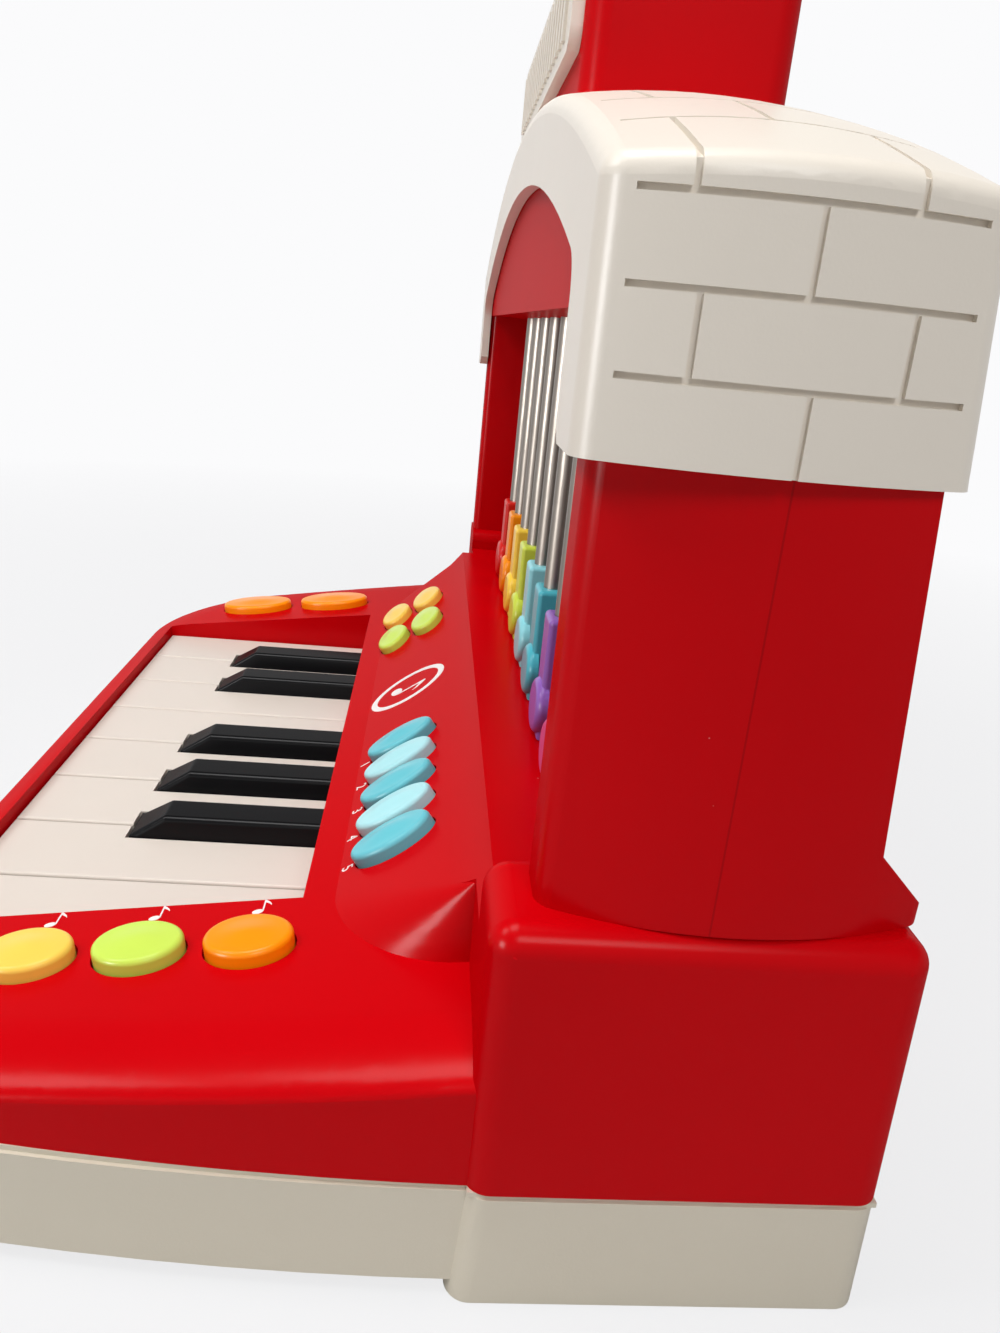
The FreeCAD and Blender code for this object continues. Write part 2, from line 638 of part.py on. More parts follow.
def button_places():
    """Name, oval sizes, rise and place of every push button."""
    rows = []
    for index in range(TUNE_COUNT):
        y = TUNE_Y - index * TUNE_PITCH
        rows.append(("tune_button_%d" % (TUNE_COUNT - index), TUNE_HALF_LONG, TUNE_HALF_SHORT, TUNE_RISE,
                     Vector(TUNE_X, y, deck_z(y)), DECK_BACKWARD, DECK_UP))
    for index in range(DRUM_COUNT):
        y = DRUM_Y - index * DRUM_PITCH
        rows.append(("drum_pad_%d" % (DRUM_COUNT - index), DRUM_HALF_LONG, DRUM_HALF_SHORT, DRUM_RISE,
                     Vector(DRUM_X, y, deck_z(y)), DECK_BACKWARD, DECK_UP))
    for index in range(TONE_COUNT):
        point = PANEL_FOOT + PANEL_BACKWARD * TONE_UP_PANEL
        point.x = TONE_X - index * TONE_PITCH
        rows.append(("tone_button_%d" % (index + 1), TONE_HALF_LONG, TONE_HALF_SHORT, TONE_RISE,
                     point, PANEL_BACKWARD, PANEL_UP))
    for column in range(BEAT_COLUMNS_COUNT):
        for row in range(BEAT_ROWS_COUNT):
            point = PANEL_FOOT + PANEL_BACKWARD * (BEAT_UP_PANEL + row * BEAT_ROW_STEP)
            point.x = BEAT_X + column * BEAT_PITCH
            number = column * BEAT_ROWS_COUNT + row + 1
            rows.append(("beat_button_%d" % number, BEAT_HALF_LONG, BEAT_HALF_SHORT, BEAT_RISE,
                         point, ACROSS, PANEL_UP))
    return rows


def button(half_long, half_short, rise):
    cap = ellipse_bar(half_long, half_short, -FLANGE_TOP, rise)
    cap = rounded(cap, BUTTON_ROUND, lambda edge: edge.BoundBox.ZMin > rise - NEAR)
    flange = ellipse_bar(half_long + FLANGE_REACH, half_short + FLANGE_SIDE,
                         -FLANGE_TOP - FLANGE_THICKNESS, -FLANGE_TOP)
    stem = rod(Vector(0, 0, -STEM_END), UP, STEM_RADIUS, STEM_LENGTH)
    return joined([cap, flange, stem])


# Board posts hang from the inside of the skin, clear of the button flanges
def board_posts():
    posts = []
    length = BOARD_DEPTH - CASE_WALL / 2
    free_start = BEAT_X + BEAT_PITCH + BEAT_HALF_LONG + FLANGE_REACH
    free_end = TONE_X - TONE_PITCH * (TONE_COUNT - 1) - TONE_HALF_SHORT - FLANGE_SIDE
    places = [BEAT_X + BEAT_PITCH / 2]
    places += [free_start + share * (free_end - free_start) for share in PANEL_POST_SHARES]
    for x in places:
        foot = PANEL_FOOT + PANEL_BACKWARD * (PANEL_BOARD_LOW + PANEL_BOARD_LENGTH - BOARD_POST_RADIUS)
        foot.x = x
        posts.append(rod(foot - PANEL_UP * BOARD_DEPTH, PANEL_UP, BOARD_POST_RADIUS, length))
    for x, first_y, pitch, count, half_long in CHEEK_ROWS:
        for y in cheek_post_ys(first_y, pitch, count, half_long):
            foot = Vector(x, y, deck_z(y))
            posts.append(rod(foot - DECK_UP * BOARD_DEPTH, DECK_UP, BOARD_POST_RADIUS, length))
    return posts


CHEEK_ROWS = ((TUNE_X, TUNE_Y, TUNE_PITCH, TUNE_COUNT, TUNE_HALF_LONG),
              (DRUM_X, DRUM_Y, DRUM_PITCH, DRUM_COUNT, DRUM_HALF_LONG))


def cheek_post_ys(first_y, pitch, count, half_long):
    room = half_long + FLANGE_REACH + BOARD_POST_RADIUS * 2
    return (first_y + room, first_y - pitch * (count - 1) - room)


def case_screw_places():
    places = []
    for side in (-1, 1):
        places += [(side * CHEEK_SCREW_X, CHEEK_SCREW_FRONT_Y), (side * CHEEK_SCREW_X, CHEEK_SCREW_BACK_Y),
                   (side * REAR_SCREW_X, REAR_SCREW_Y)]
    return places


def case_post(x, y):
    ceiling = SILL_Z if abs(x) < FOOT_INNER_X else deck_z(y)
    return rod(Vector(x, y, SEAM_Z), UP, BOSS_RADIUS, ceiling - SEAM_Z - CASE_WALL / 2)


def make_deck_shell():
    low = SEAM_Z - OVERRUN
    deck = deck_body(0, SEAM_Z)
    ridge_ends = [ridge_end(0, SEAM_Z, SILL_Z, BLOCK_INNER_X + BLOCK_ROUND),
                  ridge_end(0, SEAM_Z, SILL_Z, CREST_X + CONE_TIP_RADIUS).mirror(Vector(0, 0, 0), ACROSS)]
    outer = [panel_body(0, SEAM_Z, SILL_Z, KEYBOARD_HALF), rear_body(0, SEAM_Z)] + ridge_ends
    outer += both_sides(panel_cone(0)) + end_blocks()
    shell = deck.multiFuse(outer)
    inner_top = SILL_Z - CASE_WALL
    inner = [panel_body(CASE_WALL, low, inner_top, KEYBOARD_HALF), rear_body(CASE_WALL, low)]
    inner += both_sides(panel_cone(CASE_WALL))
    inner += both_sides(ridge_end(CASE_WALL, low, inner_top, CREST_X + CONE_TIP_RADIUS))
    inner += [block_body(CASE_WALL, low, BLOCK_FRONT_Y),
              block_body(CASE_WALL, low, BLOCK_SPLIT_Y).mirror(Vector(0, 0, 0), ACROSS)]
    shell = shell.cut(deck_body(CASE_WALL, low).multiFuse(inner))
    well_half = KEYBOARD_HALF + KEY_GAP / 2
    curtain = box(-well_half - CASE_WALL, well_half + CASE_WALL, FRONT_Y, LIP_Y + CASE_WALL,
                  SEAM_Z, BLOCK_TOP_Z).common(deck)
    well = box(-well_half, well_half, WELL_FRONT_Y, LIP_Y, low, BLOCK_TOP_Z)
    lip_end = LIP_Y + CASE_WALL + NEAR
    passages = [box(-well_half, well_half, LIP_Y - OVERRUN, lip_end, low, KEY_TOP_Z + WHITE_HEADROOM)]
    for whites in BLACK_AFTER_WHITE:
        x = boundary_x(whites)
        half = BLACK_WIDTH / 2 + KEY_GAP
        passages.append(box(x - half, x + half, LIP_Y - OVERRUN, lip_end, low,
                            KEY_TOP_Z + BLACK_RISE + BLACK_HEADROOM))
    posts = board_posts() + [case_post(x, y) for x, y in case_screw_places()]
    shell = shell.multiFuse([curtain] + posts)
    cuts = [well] + passages
    for name, half_long, half_short, rise, point, along, up in button_places():
        hole = ellipse_bar(half_long + BUTTON_CLEARANCE, half_short + BUTTON_CLEARANCE,
                           -FLANGE_TOP, rise + OVERRUN)
        cuts.append(placed(hole, point, along, up))
    for index in range(WHITE_COUNT):
        x = white_x(index)
        sill = SILL_Z - CASE_WALL - OVERRUN
        cuts.append(rod(Vector(x, LEG_Y, sill), UP, LEG_RADIUS + SLIDE_GAP, OVERRUN * 3))
        cuts.append(rod(Vector(x, ROD_Y, sill), UP, ROD_RADIUS + BORE_GAP, OVERRUN * 3))
    for x, y in case_screw_places():
        cuts.append(rod(Vector(x, y, low), UP, SCREW_RADIUS + BORE_GAP, OVERRUN + SCREW_CASE_BITE))
    for x, y in stand_screw_places():
        cuts.append(rod(Vector(x, y, BLOCK_TOP_Z - OVERRUN), UP, SCREW_RADIUS + SLIDE_GAP, OVERRUN * 2))
    return shell.cut(Part.makeCompound(cuts))


# Base tray
def foot_body(inset, low_z, top_z):
    """Flared foot under one end block."""
    def ring(z, flare):
        front = BLOCK_FRONT_Y + inset - flare
        corners = [Vector(FOOT_INNER_X + inset, front, z), Vector(BLOCK_HALF - inset, front, z),
                   Vector(BLOCK_HALF - inset, block_back(z) - inset, z),
                   Vector(FOOT_INNER_X + inset, block_back(z) - inset, z)]
        return Part.makePolygon(corners + corners[:1])
    flare_low = FOOT_FLARE * (SEAM_Z - low_z) / SEAM_Z
    flare_high = FOOT_FLARE * (SEAM_Z - top_z) / SEAM_Z
    return Part.makeLoft([ring(low_z, flare_low), ring(top_z, flare_high)], True, True)


def tray_slab(inset, low_z, top_z):
    plan = deck_outline(DECK_HALF - inset, FRONT_Y + inset, BLOCK_FRONT_Y + BLOCK_ROUND,
                        DECK_CORNER_RADIUS - inset, DECK_SIDE_RADIUS - inset)
    plan.translate(UP * low_z)
    return plan.extrude(UP * (top_z - low_z))


def tray_rear(inset, low_z, top_z):
    profile = [(BLOCK_FRONT_Y, low_z), (BLOCK_FRONT_Y, top_z),
               (block_back(top_z) - inset, top_z), (block_back(low_z) - inset, low_z)]
    return along_x(profile, -TRAY_REAR_HALF, TRAY_REAR_HALF)


def case_boss(x, y):
    return rod(Vector(x, y, TRAY_BOTTOM_Z), UP, BOSS_RADIUS, SEAM_Z - TRAY_BOTTOM_Z)


def axle_posts():
    places = [boundary_x(whites) for whites in AXLE_POST_AFTER_WHITE]
    end = KEYBOARD_HALF + KEY_GAP + AXLE_POST_WIDTH / 2
    places += [-end, end]
    half = AXLE_POST_WIDTH / 2
    top = PIVOT_Z + AXLE_RADIUS * 2
    deep = AXLE_POST_DEPTH / 2
    return [box(x - half, x + half, PIVOT_Y - deep, PIVOT_Y + deep, TRAY_BOTTOM_Z, top) for x in places]


# Battery bay: the cells lie along Y over the door in the right foot
BAY_HALF = CELL_PITCH * (CELL_COUNT - 1) / 2 + CELL_RADIUS + CELL_ROOM
BAY_FRONT_Y = CELL_FRONT_Y - CONTACT_THICKNESS - SLIDE_GAP
BAY_BACK_Y = CELL_FRONT_Y + CELL_LENGTH + CONTACT_THICKNESS + SLIDE_GAP
DOOR_SEAT_Z = FOOT_FLOOR - DOOR_LEDGE_THICKNESS


def battery_bay():
    outer = box(CELL_MID_X - BAY_HALF - BATTERY_WALL, CELL_MID_X + BAY_HALF + BATTERY_WALL,
                BAY_FRONT_Y - BATTERY_WALL, BAY_BACK_Y + BATTERY_WALL, TRAY_BOTTOM_Z, BATTERY_WALL_TOP_Z)
    boss = rod(Vector(CELL_MID_X, BAY_FRONT_Y - DOOR_TAB, TRAY_BOTTOM_Z), UP, BOSS_RADIUS,
               BATTERY_WALL_TOP_Z - TRAY_BOTTOM_Z)
    inner = box(CELL_MID_X - BAY_HALF, CELL_MID_X + BAY_HALF, BAY_FRONT_Y, BAY_BACK_Y,
                -OVERRUN, BATTERY_WALL_TOP_Z + OVERRUN)
    return [outer, boss], inner


def door_plan(gap):
    return (CELL_MID_X - BAY_HALF - DOOR_LEDGE + gap, CELL_MID_X + BAY_HALF + DOOR_LEDGE - gap,
            BAY_FRONT_Y - DOOR_TAB - BOSS_RADIUS + gap, BAY_BACK_Y + DOOR_LEDGE - gap)


def slider_rails():
    inside = SLIDER_PLATE_HALF + SLIDE_GAP
    lip_z = TRAY_FLOOR_Z + SLIDE_GAP * 2 + SLIDER_PLATE
    y0 = SLIDER_Y - SLIDER_PLATE_LENGTH / 2
    y1 = SLIDER_Y + SLIDER_PLATE_LENGTH / 2 + SLIDER_TRAVEL
    wall = box(SLIDER_X + inside, SLIDER_X + inside + RAIL_WIDTH, y0, y1, TRAY_BOTTOM_Z, lip_z + RAIL_LIP)
    lip = box(SLIDER_X + inside - RAIL_LIP, SLIDER_X + inside, y0, y1, lip_z, lip_z + RAIL_LIP)
    rail = joined([wall, lip])
    other = rail.mirror(Vector(SLIDER_X, 0, 0), ACROSS)
    return [rail, other]


def make_base_tray():
    rim = SEAM_Z - TRAY_REVEAL_HEIGHT
    outer = [tray_slab(0, TRAY_BOTTOM_Z, rim), tray_slab(TRAY_REVEAL, rim, SEAM_Z),
             tray_rear(0, TRAY_BOTTOM_Z, rim), tray_rear(TRAY_REVEAL, rim, SEAM_Z)]
    foot = rounded(foot_body(0, 0, rim), FOOT_ROUND, lambda edge: edge.BoundBox.ZLength > FOOT_ROUND)
    outer += both_sides(foot) + both_sides(foot_body(TRAY_REVEAL, rim, SEAM_Z))
    tray = outer[0].multiFuse(outer[1:])
    high = SEAM_Z + OVERRUN
    inner = [tray_slab(TRAY_WALL, TRAY_FLOOR_Z, high), tray_rear(TRAY_WALL, TRAY_FLOOR_Z, high)]
    inner += both_sides(foot_body(TRAY_WALL, FOOT_FLOOR, high))
    tray = tray.cut(inner[0].multiFuse(inner[1:]))
    bay, bay_room = battery_bay()
    rib_half = BOARD_RIB / 2
    ribs = [box(share * BOARD_HALF - rib_half, share * BOARD_HALF + rib_half, BOARD_FRONT_Y, BOARD_BACK_Y,
                TRAY_BOTTOM_Z, KEY_BOARD_Z) for share in BOARD_RIB_SHARES]
    stop_top = TAIL_TOP_Z - TAIL_HEIGHT - SLIDE_GAP
    stop = box(STOP_BAR_LEAD_GAP, KEYBOARD_HALF, STOP_BAR_Y, STOP_BAR_Y + STOP_BAR_DEPTH,
               TRAY_BOTTOM_Z, stop_top)
    collar = rod(Vector(0, SPEAKER_Y, TRAY_BOTTOM_Z), UP, SPEAKER_RADIUS + SLIDE_GAP + SPEAKER_COLLAR,
                 TRAY_WALL + SPEAKER_COLLAR_HEIGHT)
    speaker_room = rod(Vector(0, SPEAKER_Y, TRAY_FLOOR_Z), UP, SPEAKER_RADIUS + SLIDE_GAP, OVERRUN * 2)
    added = axle_posts() + bay + ribs + both_sides(stop) + [collar.cut(speaker_room)] + slider_rails()
    added += [case_boss(x, y) for x, y in case_screw_places()]
    tray = tray.multiFuse(added)
    cuts = [bay_room, box(*door_plan(0), -OVERRUN, DOOR_SEAT_Z)]
    cuts.append(rod(Vector(-AXLE_HALF, PIVOT_Y, PIVOT_Z), ACROSS, AXLE_RADIUS + BORE_GAP, AXLE_HALF * 2))
    cuts.append(rod(Vector(CELL_MID_X, BAY_FRONT_Y - DOOR_TAB, -OVERRUN), UP, SCREW_RADIUS + BORE_GAP,
                    OVERRUN + DOOR_SEAT_Z + SCREW_CASE_BITE))
    for x, y in case_screw_places():
        cuts.append(rod(Vector(x, y, -OVERRUN), UP, SCREW_RADIUS + SLIDE_GAP, SEAM_Z + OVERRUN * 2))
        cuts.append(rod(Vector(x, y, -OVERRUN), UP, SCREW_HEAD_RADIUS + SLIDE_GAP,
                        OVERRUN + TRAY_BOTTOM_Z + HEAD_SEAT))
    cuts.append(rod(Vector(0, SPEAKER_Y, -OVERRUN), UP, GRILLE_HOLE_RADIUS, OVERRUN * 3))
    for ring in range(1, GRILLE_RING_COUNT + 1):
        count = GRILLE_HOLES_PER_RING * ring
        for step in range(count):
            turn = math.tau * step / count
            x = ring * GRILLE_RING_STEP * math.cos(turn)
            y = SPEAKER_Y + ring * GRILLE_RING_STEP * math.sin(turn)
            cuts.append(rod(Vector(x, y, -OVERRUN), UP, GRILLE_HOLE_RADIUS, OVERRUN * 3))
    slot_half = KNOB_HALF + SLIDE_GAP
    slot_end = KNOB_LENGTH / 2 + SLIDE_GAP
    cuts.append(box(SLIDER_X - slot_half, SLIDER_X + slot_half, SLIDER_Y - slot_end,
                    SLIDER_Y + slot_end + SLIDER_TRAVEL, -OVERRUN, TRAY_FLOOR_Z + OVERRUN))
    return tray.cut(Part.makeCompound(cuts))


# Tower
def tower_side(back_inset, low_z, high_z):
    """Side view of the tower: upright front, leaning back, and a skirt over the rear body."""
    return [(TOWER_FRONT_Y, low_z), (TOWER_FRONT_Y, high_z), (tower_back_y(high_z) - back_inset, high_z),
            (tower_back_y(SKIRT_TOP_Z) - back_inset, SKIRT_TOP_Z), (SKIRT_BACK_Y - back_inset, SKIRT_EDGE_Z),
            (SKIRT_BACK_Y - back_inset, low_z)]


def roof_arc_face(half, crown, low_z, y):
    """Face in X and Z under an arc that runs with the roof."""
    radius = crown - ROOF_AXIS_Z
    edge_z = ROOF_AXIS_Z + math.sqrt(radius * radius - half * half)
    corners = [Vector(half, y, edge_z), Vector(half, y, low_z), Vector(-half, y, low_z),
               Vector(-half, y, edge_z)]
    edges = [Part.makeLine(a, b) for a, b in zip(corners, corners[1:])]
    edges.append(Part.Arc(corners[3], Vector(0, y, crown), corners[0]).toShape())
    return Part.Face(Part.Wire(edges))


def tower_neck(inset, low_z):
    back = tower_back_y(low_z) - NECK_BACK_INSET - inset
    neck = roof_arc_face(NECK_HALF - inset, NECK_CROWN_Z - inset, low_z, TOWER_FRONT_Y)
    neck = neck.extrude(BACKWARD * (back - TOWER_FRONT_Y))
    lean = along_x([(TOWER_FRONT_Y, low_z - OVERRUN), (TOWER_FRONT_Y, ROOF_CROWN_Z),
                    (tower_back_y(ROOF_CROWN_Z) - NECK_BACK_INSET - inset, ROOF_CROWN_Z),
                    (tower_back_y(low_z) - NECK_BACK_INSET - inset, low_z),
                    (tower_back_y(low_z) - NECK_BACK_INSET - inset, low_z - OVERRUN)],
                   -NECK_HALF, NECK_HALF)
    return neck.common(lean)


def tower_solid():
    plan = bowed_outline(PILLAR_CORNER_X, PILLAR_MID_X, TOWER_FRONT_Y, SKIRT_BACK_Y, SILL_Z)
    lower = plan.extrude(UP * (PILLAR_TOP_Z - SILL_Z))
    lower = rounded(lower, PILLAR_ROUND, is_upright)
    lower = lower.common(along_x(tower_side(0, SILL_Z, PILLAR_TOP_Z), -PILLAR_MID_X, PILLAR_MID_X))
    beside = box(BLOCK_INNER_X - SLIDE_GAP, PILLAR_MID_X + OVERRUN, TOWER_FRONT_Y - OVERRUN, BACK_Y,
                 SILL_Z - OVERRUN, BLOCK_TOP_Z)
    for side in both_sides(beside):
        lower = lower.cut(side)
    return lower.fuse(tower_neck(0, PILLAR_TOP_Z)).removeSplitter()


def tower_screw_places():
    heights = (TOWER_SCREW_LOW_Z, TOWER_SCREW_LOW_Z + TOWER_SCREW_STEP)
    return [(x, z) for x in (-TOWER_SCREW_X, TOWER_SCREW_X) for z in heights]


def stand_screw_places():
    depths = (STAND_SCREW_FRONT_Y, STAND_SCREW_BACK_Y)
    return [(x, y) for x in (-STAND_SCREW_X, STAND_SCREW_X) for y in depths]


def tower_hollow():
    """Room inside both tower halves, with a thicker floor over the end blocks."""
    wall = TOWER_WALL
    floor_z = BLOCK_TOP_Z + wall
    plan = bowed_outline(PILLAR_CORNER_X - wall, PILLAR_MID_X - wall, TOWER_FRONT_Y + wall,
                         SKIRT_BACK_Y - wall, floor_z)
    pillars = plan.extrude(UP * (PILLAR_TOP_Z - wall - floor_z))
    pillars = pillars.common(along_x(tower_side(wall, floor_z, PILLAR_TOP_Z), -PILLAR_MID_X, PILLAR_MID_X))
    upper = tower_neck(wall, floor_z).common(box(-NECK_HALF, NECK_HALF, TOWER_FRONT_Y + wall, BACK_Y, floor_z,
                                                 WINDOW_TOP_Z))
    middle = BLOCK_INNER_X - SLIDE_GAP - wall
    lower = box(-middle, middle, TOWER_SPLIT_Y + wall, tower_back_y(SKIRT_TOP_Z) - wall,
                SILL_Z + wall, SKIRT_TOP_Z)
    attic_z = WINDOW_TOP_Z + wall
    attic = tower_neck(wall, PILLAR_TOP_Z).common(box(-NECK_HALF, NECK_HALF, TOWER_FRONT_Y + wall, BACK_Y,
                                                      attic_z, ROOF_CROWN_Z))
    return pillars.multiFuse([upper, lower, attic])


def is_window_edge(edge):
    bounds = edge.BoundBox
    beside = abs(abs(bounds.XMin) - WINDOW_HALF) < NEAR and bounds.XLength < NEAR
    return beside and abs(bounds.YMax - TOWER_FRONT_Y) < NEAR and bounds.YLength < NEAR


def make_tower_front():
    half = box(-PILLAR_MID_X, PILLAR_MID_X, TOWER_FRONT_Y - OVERRUN, TOWER_SPLIT_Y,
               SILL_Z - OVERRUN, ROOF_CROWN_Z)
    behind = TOWER_SPLIT_Y + OVERRUN
    low = SILL_Z - OVERRUN
    pocket_half = WINDOW_HALF + PANEL_LEDGE + SLIDE_GAP
    pocket_top = WINDOW_TOP_Z + PANEL_LEDGE
    jamb = pocket_half + TOWER_WALL
    frame = box(-jamb, jamb, TOWER_FRONT_Y, TOWER_SPLIT_Y, SILL_Z, WINDOW_TOP_Z + TOWER_WALL)
    solid = tower_solid()
    inside_y = TOWER_FRONT_Y + TOWER_WALL / 2
    bosses = [rod(Vector(x, inside_y, z), BACKWARD, BOSS_RADIUS, TOWER_SPLIT_Y - inside_y)
              for x, z in tower_screw_places()]
    bosses += stand_bosses(STAND_SCREW_FRONT_Y)
    front = solid.cut(tower_hollow()).multiFuse([frame.common(solid)] + bosses).common(half)
    window = box(-WINDOW_HALF, WINDOW_HALF, TOWER_FRONT_Y - OVERRUN, behind, low, WINDOW_TOP_Z)
    pocket = box(-pocket_half, pocket_half, TOWER_SPLIT_Y - PANEL_THICKNESS, behind, low, pocket_top)
    front = front.cut(window).cut(pocket).removeSplitter()
    front = rounded(front, WINDOW_ROUND, is_window_edge)
    holes = [rod(Vector(x, TOWER_SPLIT_Y - TOWER_PILOT_DEPTH, z), BACKWARD, SCREW_RADIUS + BORE_GAP,
                 TOWER_PILOT_DEPTH + OVERRUN) for x, z in tower_screw_places()]
    holes += stand_pilots(STAND_SCREW_FRONT_Y)
    holes += [rod(Vector(white_x(index), ROD_Y, WINDOW_TOP_Z - OVERRUN), UP, ROD_RADIUS + BORE_GAP,
                  OVERRUN + ROD_SEAT) for index in range(WHITE_COUNT)]
    return front.cut(Part.makeCompound(holes)).removeSplitter()


def stand_bosses(y):
    return [rod(Vector(x, y, BLOCK_TOP_Z), UP, BOSS_RADIUS, STAND_BOSS_HEIGHT)
            for x in (-STAND_SCREW_X, STAND_SCREW_X)]


def stand_pilots(y):
    return [rod(Vector(x, y, BLOCK_TOP_Z - OVERRUN), UP, SCREW_RADIUS + BORE_GAP, OVERRUN + STAND_SCREW_BITE)
            for x in (-STAND_SCREW_X, STAND_SCREW_X)]


def screw_seat_y(z):
    return tower_back_y(z) - HEAD_SEAT


def make_tower_back():
    half = box(-PILLAR_MID_X, PILLAR_MID_X, TOWER_SPLIT_Y, BACK_Y, SILL_Z - OVERRUN, ROOF_CROWN_Z)
    back = tower_solid().cut(tower_hollow()).common(half)
    bosses = [rod(Vector(x, TOWER_SPLIT_Y, z), BACKWARD, BOSS_RADIUS,
                  screw_seat_y(z) - TOWER_SPLIT_Y + HEAD_SEAT / 2) for x, z in tower_screw_places()]
    bosses += stand_bosses(STAND_SCREW_BACK_Y)
    back = back.multiFuse(bosses)
    cuts = stand_pilots(STAND_SCREW_BACK_Y)
    for x, z in tower_screw_places():
        start = TOWER_SPLIT_Y - OVERRUN
        cuts.append(rod(Vector(x, start, z), BACKWARD, SCREW_RADIUS + SLIDE_GAP, BACK_Y - start))
        cuts.append(rod(Vector(x, screw_seat_y(z), z), BACKWARD, SCREW_HEAD_RADIUS + SLIDE_GAP, BACK_Y))
    return back.cut(Part.makeCompound(cuts)).removeSplitter()


def make_stage_panel():
    half = WINDOW_HALF + PANEL_LEDGE
    panel = box(-half, half, TOWER_SPLIT_Y - PANEL_THICKNESS, TOWER_SPLIT_Y, SILL_Z,
                WINDOW_TOP_Z + PANEL_LEDGE - SLIDE_GAP)
    over_block = box(BLOCK_INNER_X - SLIDE_GAP, half + OVERRUN, TOWER_FRONT_Y, BACK_Y,
                     SILL_Z - OVERRUN, BLOCK_TOP_Z)
    return panel.cut(Part.makeCompound(both_sides(over_block)))


# Arch cap
def cap_body(inset):
    """Bowed box under a doubly curved roof, all faces moved in by the inset."""
    low = PILLAR_TOP_Z + (CAP_WALL if inset >= CAP_WALL else 0)
    rings = [bowed_outline(CAP_CORNER_X - inset, CAP_MID_X - inset, CAP_FRONT_Y + inset, cap_back_y(z) - inset,
                           z).OuterWire for z in (low, ROOF_CROWN_Z + OVERRUN)]
    body = Part.makeLoft(rings, True, True)
    corner = CAP_CORNER_ROUND - inset
    if corner > 0:
        body = rounded(body, corner, is_upright)
    middle = (CAP_FRONT_Y + CAP_BACK_Y) / 2
    edge_z = ROOF_CROWN_Z - ROOF_SIDE_DROP - inset
    floor_z = low - OVERRUN
    section = Part.Wire([
        Part.Arc(Vector(0, CAP_FRONT_Y, edge_z), Vector(0, middle, ROOF_CROWN_Z - inset),
                 Vector(0, CAP_BACK_Y, edge_z)).toShape(),
        Part.makeLine(Vector(0, CAP_BACK_Y, edge_z), Vector(0, CAP_BACK_Y, floor_z - CAP_MID_X)),
        Part.makeLine(Vector(0, CAP_BACK_Y, floor_z - CAP_MID_X), Vector(0, CAP_FRONT_Y, floor_z - CAP_MID_X)),
        Part.makeLine(Vector(0, CAP_FRONT_Y, floor_z - CAP_MID_X), Vector(0, CAP_FRONT_Y, edge_z))])
    sweep = math.degrees(math.atan((CAP_MID_X + OVERRUN) / (PILLAR_TOP_Z - OVERRUN - ROOF_AXIS_Z)))
    face = Part.Face(section)
    axis_point = Vector(0, 0, ROOF_AXIS_Z)
    face.rotate(axis_point, BACKWARD, -sweep)
    roof = face.revolve(axis_point, BACKWARD, sweep * 2)
    body = body.common(roof)
    if inset > 0:
        return body
    top_edges = lambda edge: edge.BoundBox.ZMin > PILLAR_TOP_Z + COURSE_HEIGHT * 2
    return rounded(body, CAP_TOP_ROUND, top_edges)


def arch_opening():
    """Gap under the arch: upright legs, rounded shoulders and a crown that runs with the roof."""
    gap = roof_arc_face(ARCH_HALF, ARCH_CROWN_Z, PILLAR_TOP_Z - OVERRUN, CAP_FRONT_Y - OVERRUN)
    gap = gap.extrude(BACKWARD * (OVERRUN + CAP_WALL + SLIDE_GAP))
    shoulder = lambda edge: (edge.BoundBox.YLength > CAP_WALL and edge.BoundBox.ZLength < NEAR
                             and edge.BoundBox.ZMin > PILLAR_TOP_Z)
    return rounded(gap, ARCH_CORNER_RADIUS, shoulder)


def leg_chamfer():
    low = PILLAR_TOP_Z
    corner = wire_face([Vector(ARCH_HALF, CAP_FRONT_Y, low), Vector(ARCH_HALF + LEG_CHAMFER, CAP_FRONT_Y, low),
                        Vector(ARCH_HALF, CAP_FRONT_Y, low + LEG_CHAMFER)])
    corner.translate(BACKWARD * -OVERRUN)
    return corner.extrude(BACKWARD * (OVERRUN + CAP_WALL))


def mortar_bars():
    """Bars that stand where the mortar lines run on the right-hand end and the roof."""
    depth = CAP_BACK_Y - CAP_FRONT_Y
    half = MORTAR_WIDTH / 2
    start = CAP_FRONT_Y + MORTAR_EDGE
    end_x = CAP_CORNER_X - CAP_WALL
    far_x = CAP_MID_X + OVERRUN
    bars = []
    for course, shares in enumerate(JOINT_SHARES):
        low = PILLAR_TOP_Z + course * COURSE_HEIGHT
        top = low + COURSE_HEIGHT
        bars.append(box(end_x, far_x, start, cap_back_y(top) - MORTAR_EDGE, top - half, top + half))
        for share in shares:
            y = CAP_FRONT_Y + share * depth
            bottom = low - OVERRUN if course == 0 else low
            bars.append(box(end_x, far_x, y - half, y + half, bottom, top))
    last_top = PILLAR_TOP_Z + len(JOINT_SHARES) * COURSE_HEIGHT
    back = cap_back_y(ROOF_CROWN_Z) - MORTAR_EDGE
    roof_low = last_top
    for course, shares in enumerate(ROOF_JOINT_SHARES):
        outer_x = CAP_MID_X + OVERRUN if course == 0 else CAP_MID_X - course * ROOF_COURSE
        inner_x = CAP_MID_X - (course + 1) * ROOF_COURSE
        bars.append(box(inner_x - half, inner_x + half, start, back, roof_low, ROOF_CROWN_Z + OVERRUN))
        for share in shares:
            y = CAP_FRONT_Y + share * depth
            bars.append(box(inner_x, outer_x, y - half, y + half, roof_low, ROOF_CROWN_Z + OVERRUN))
    return bars


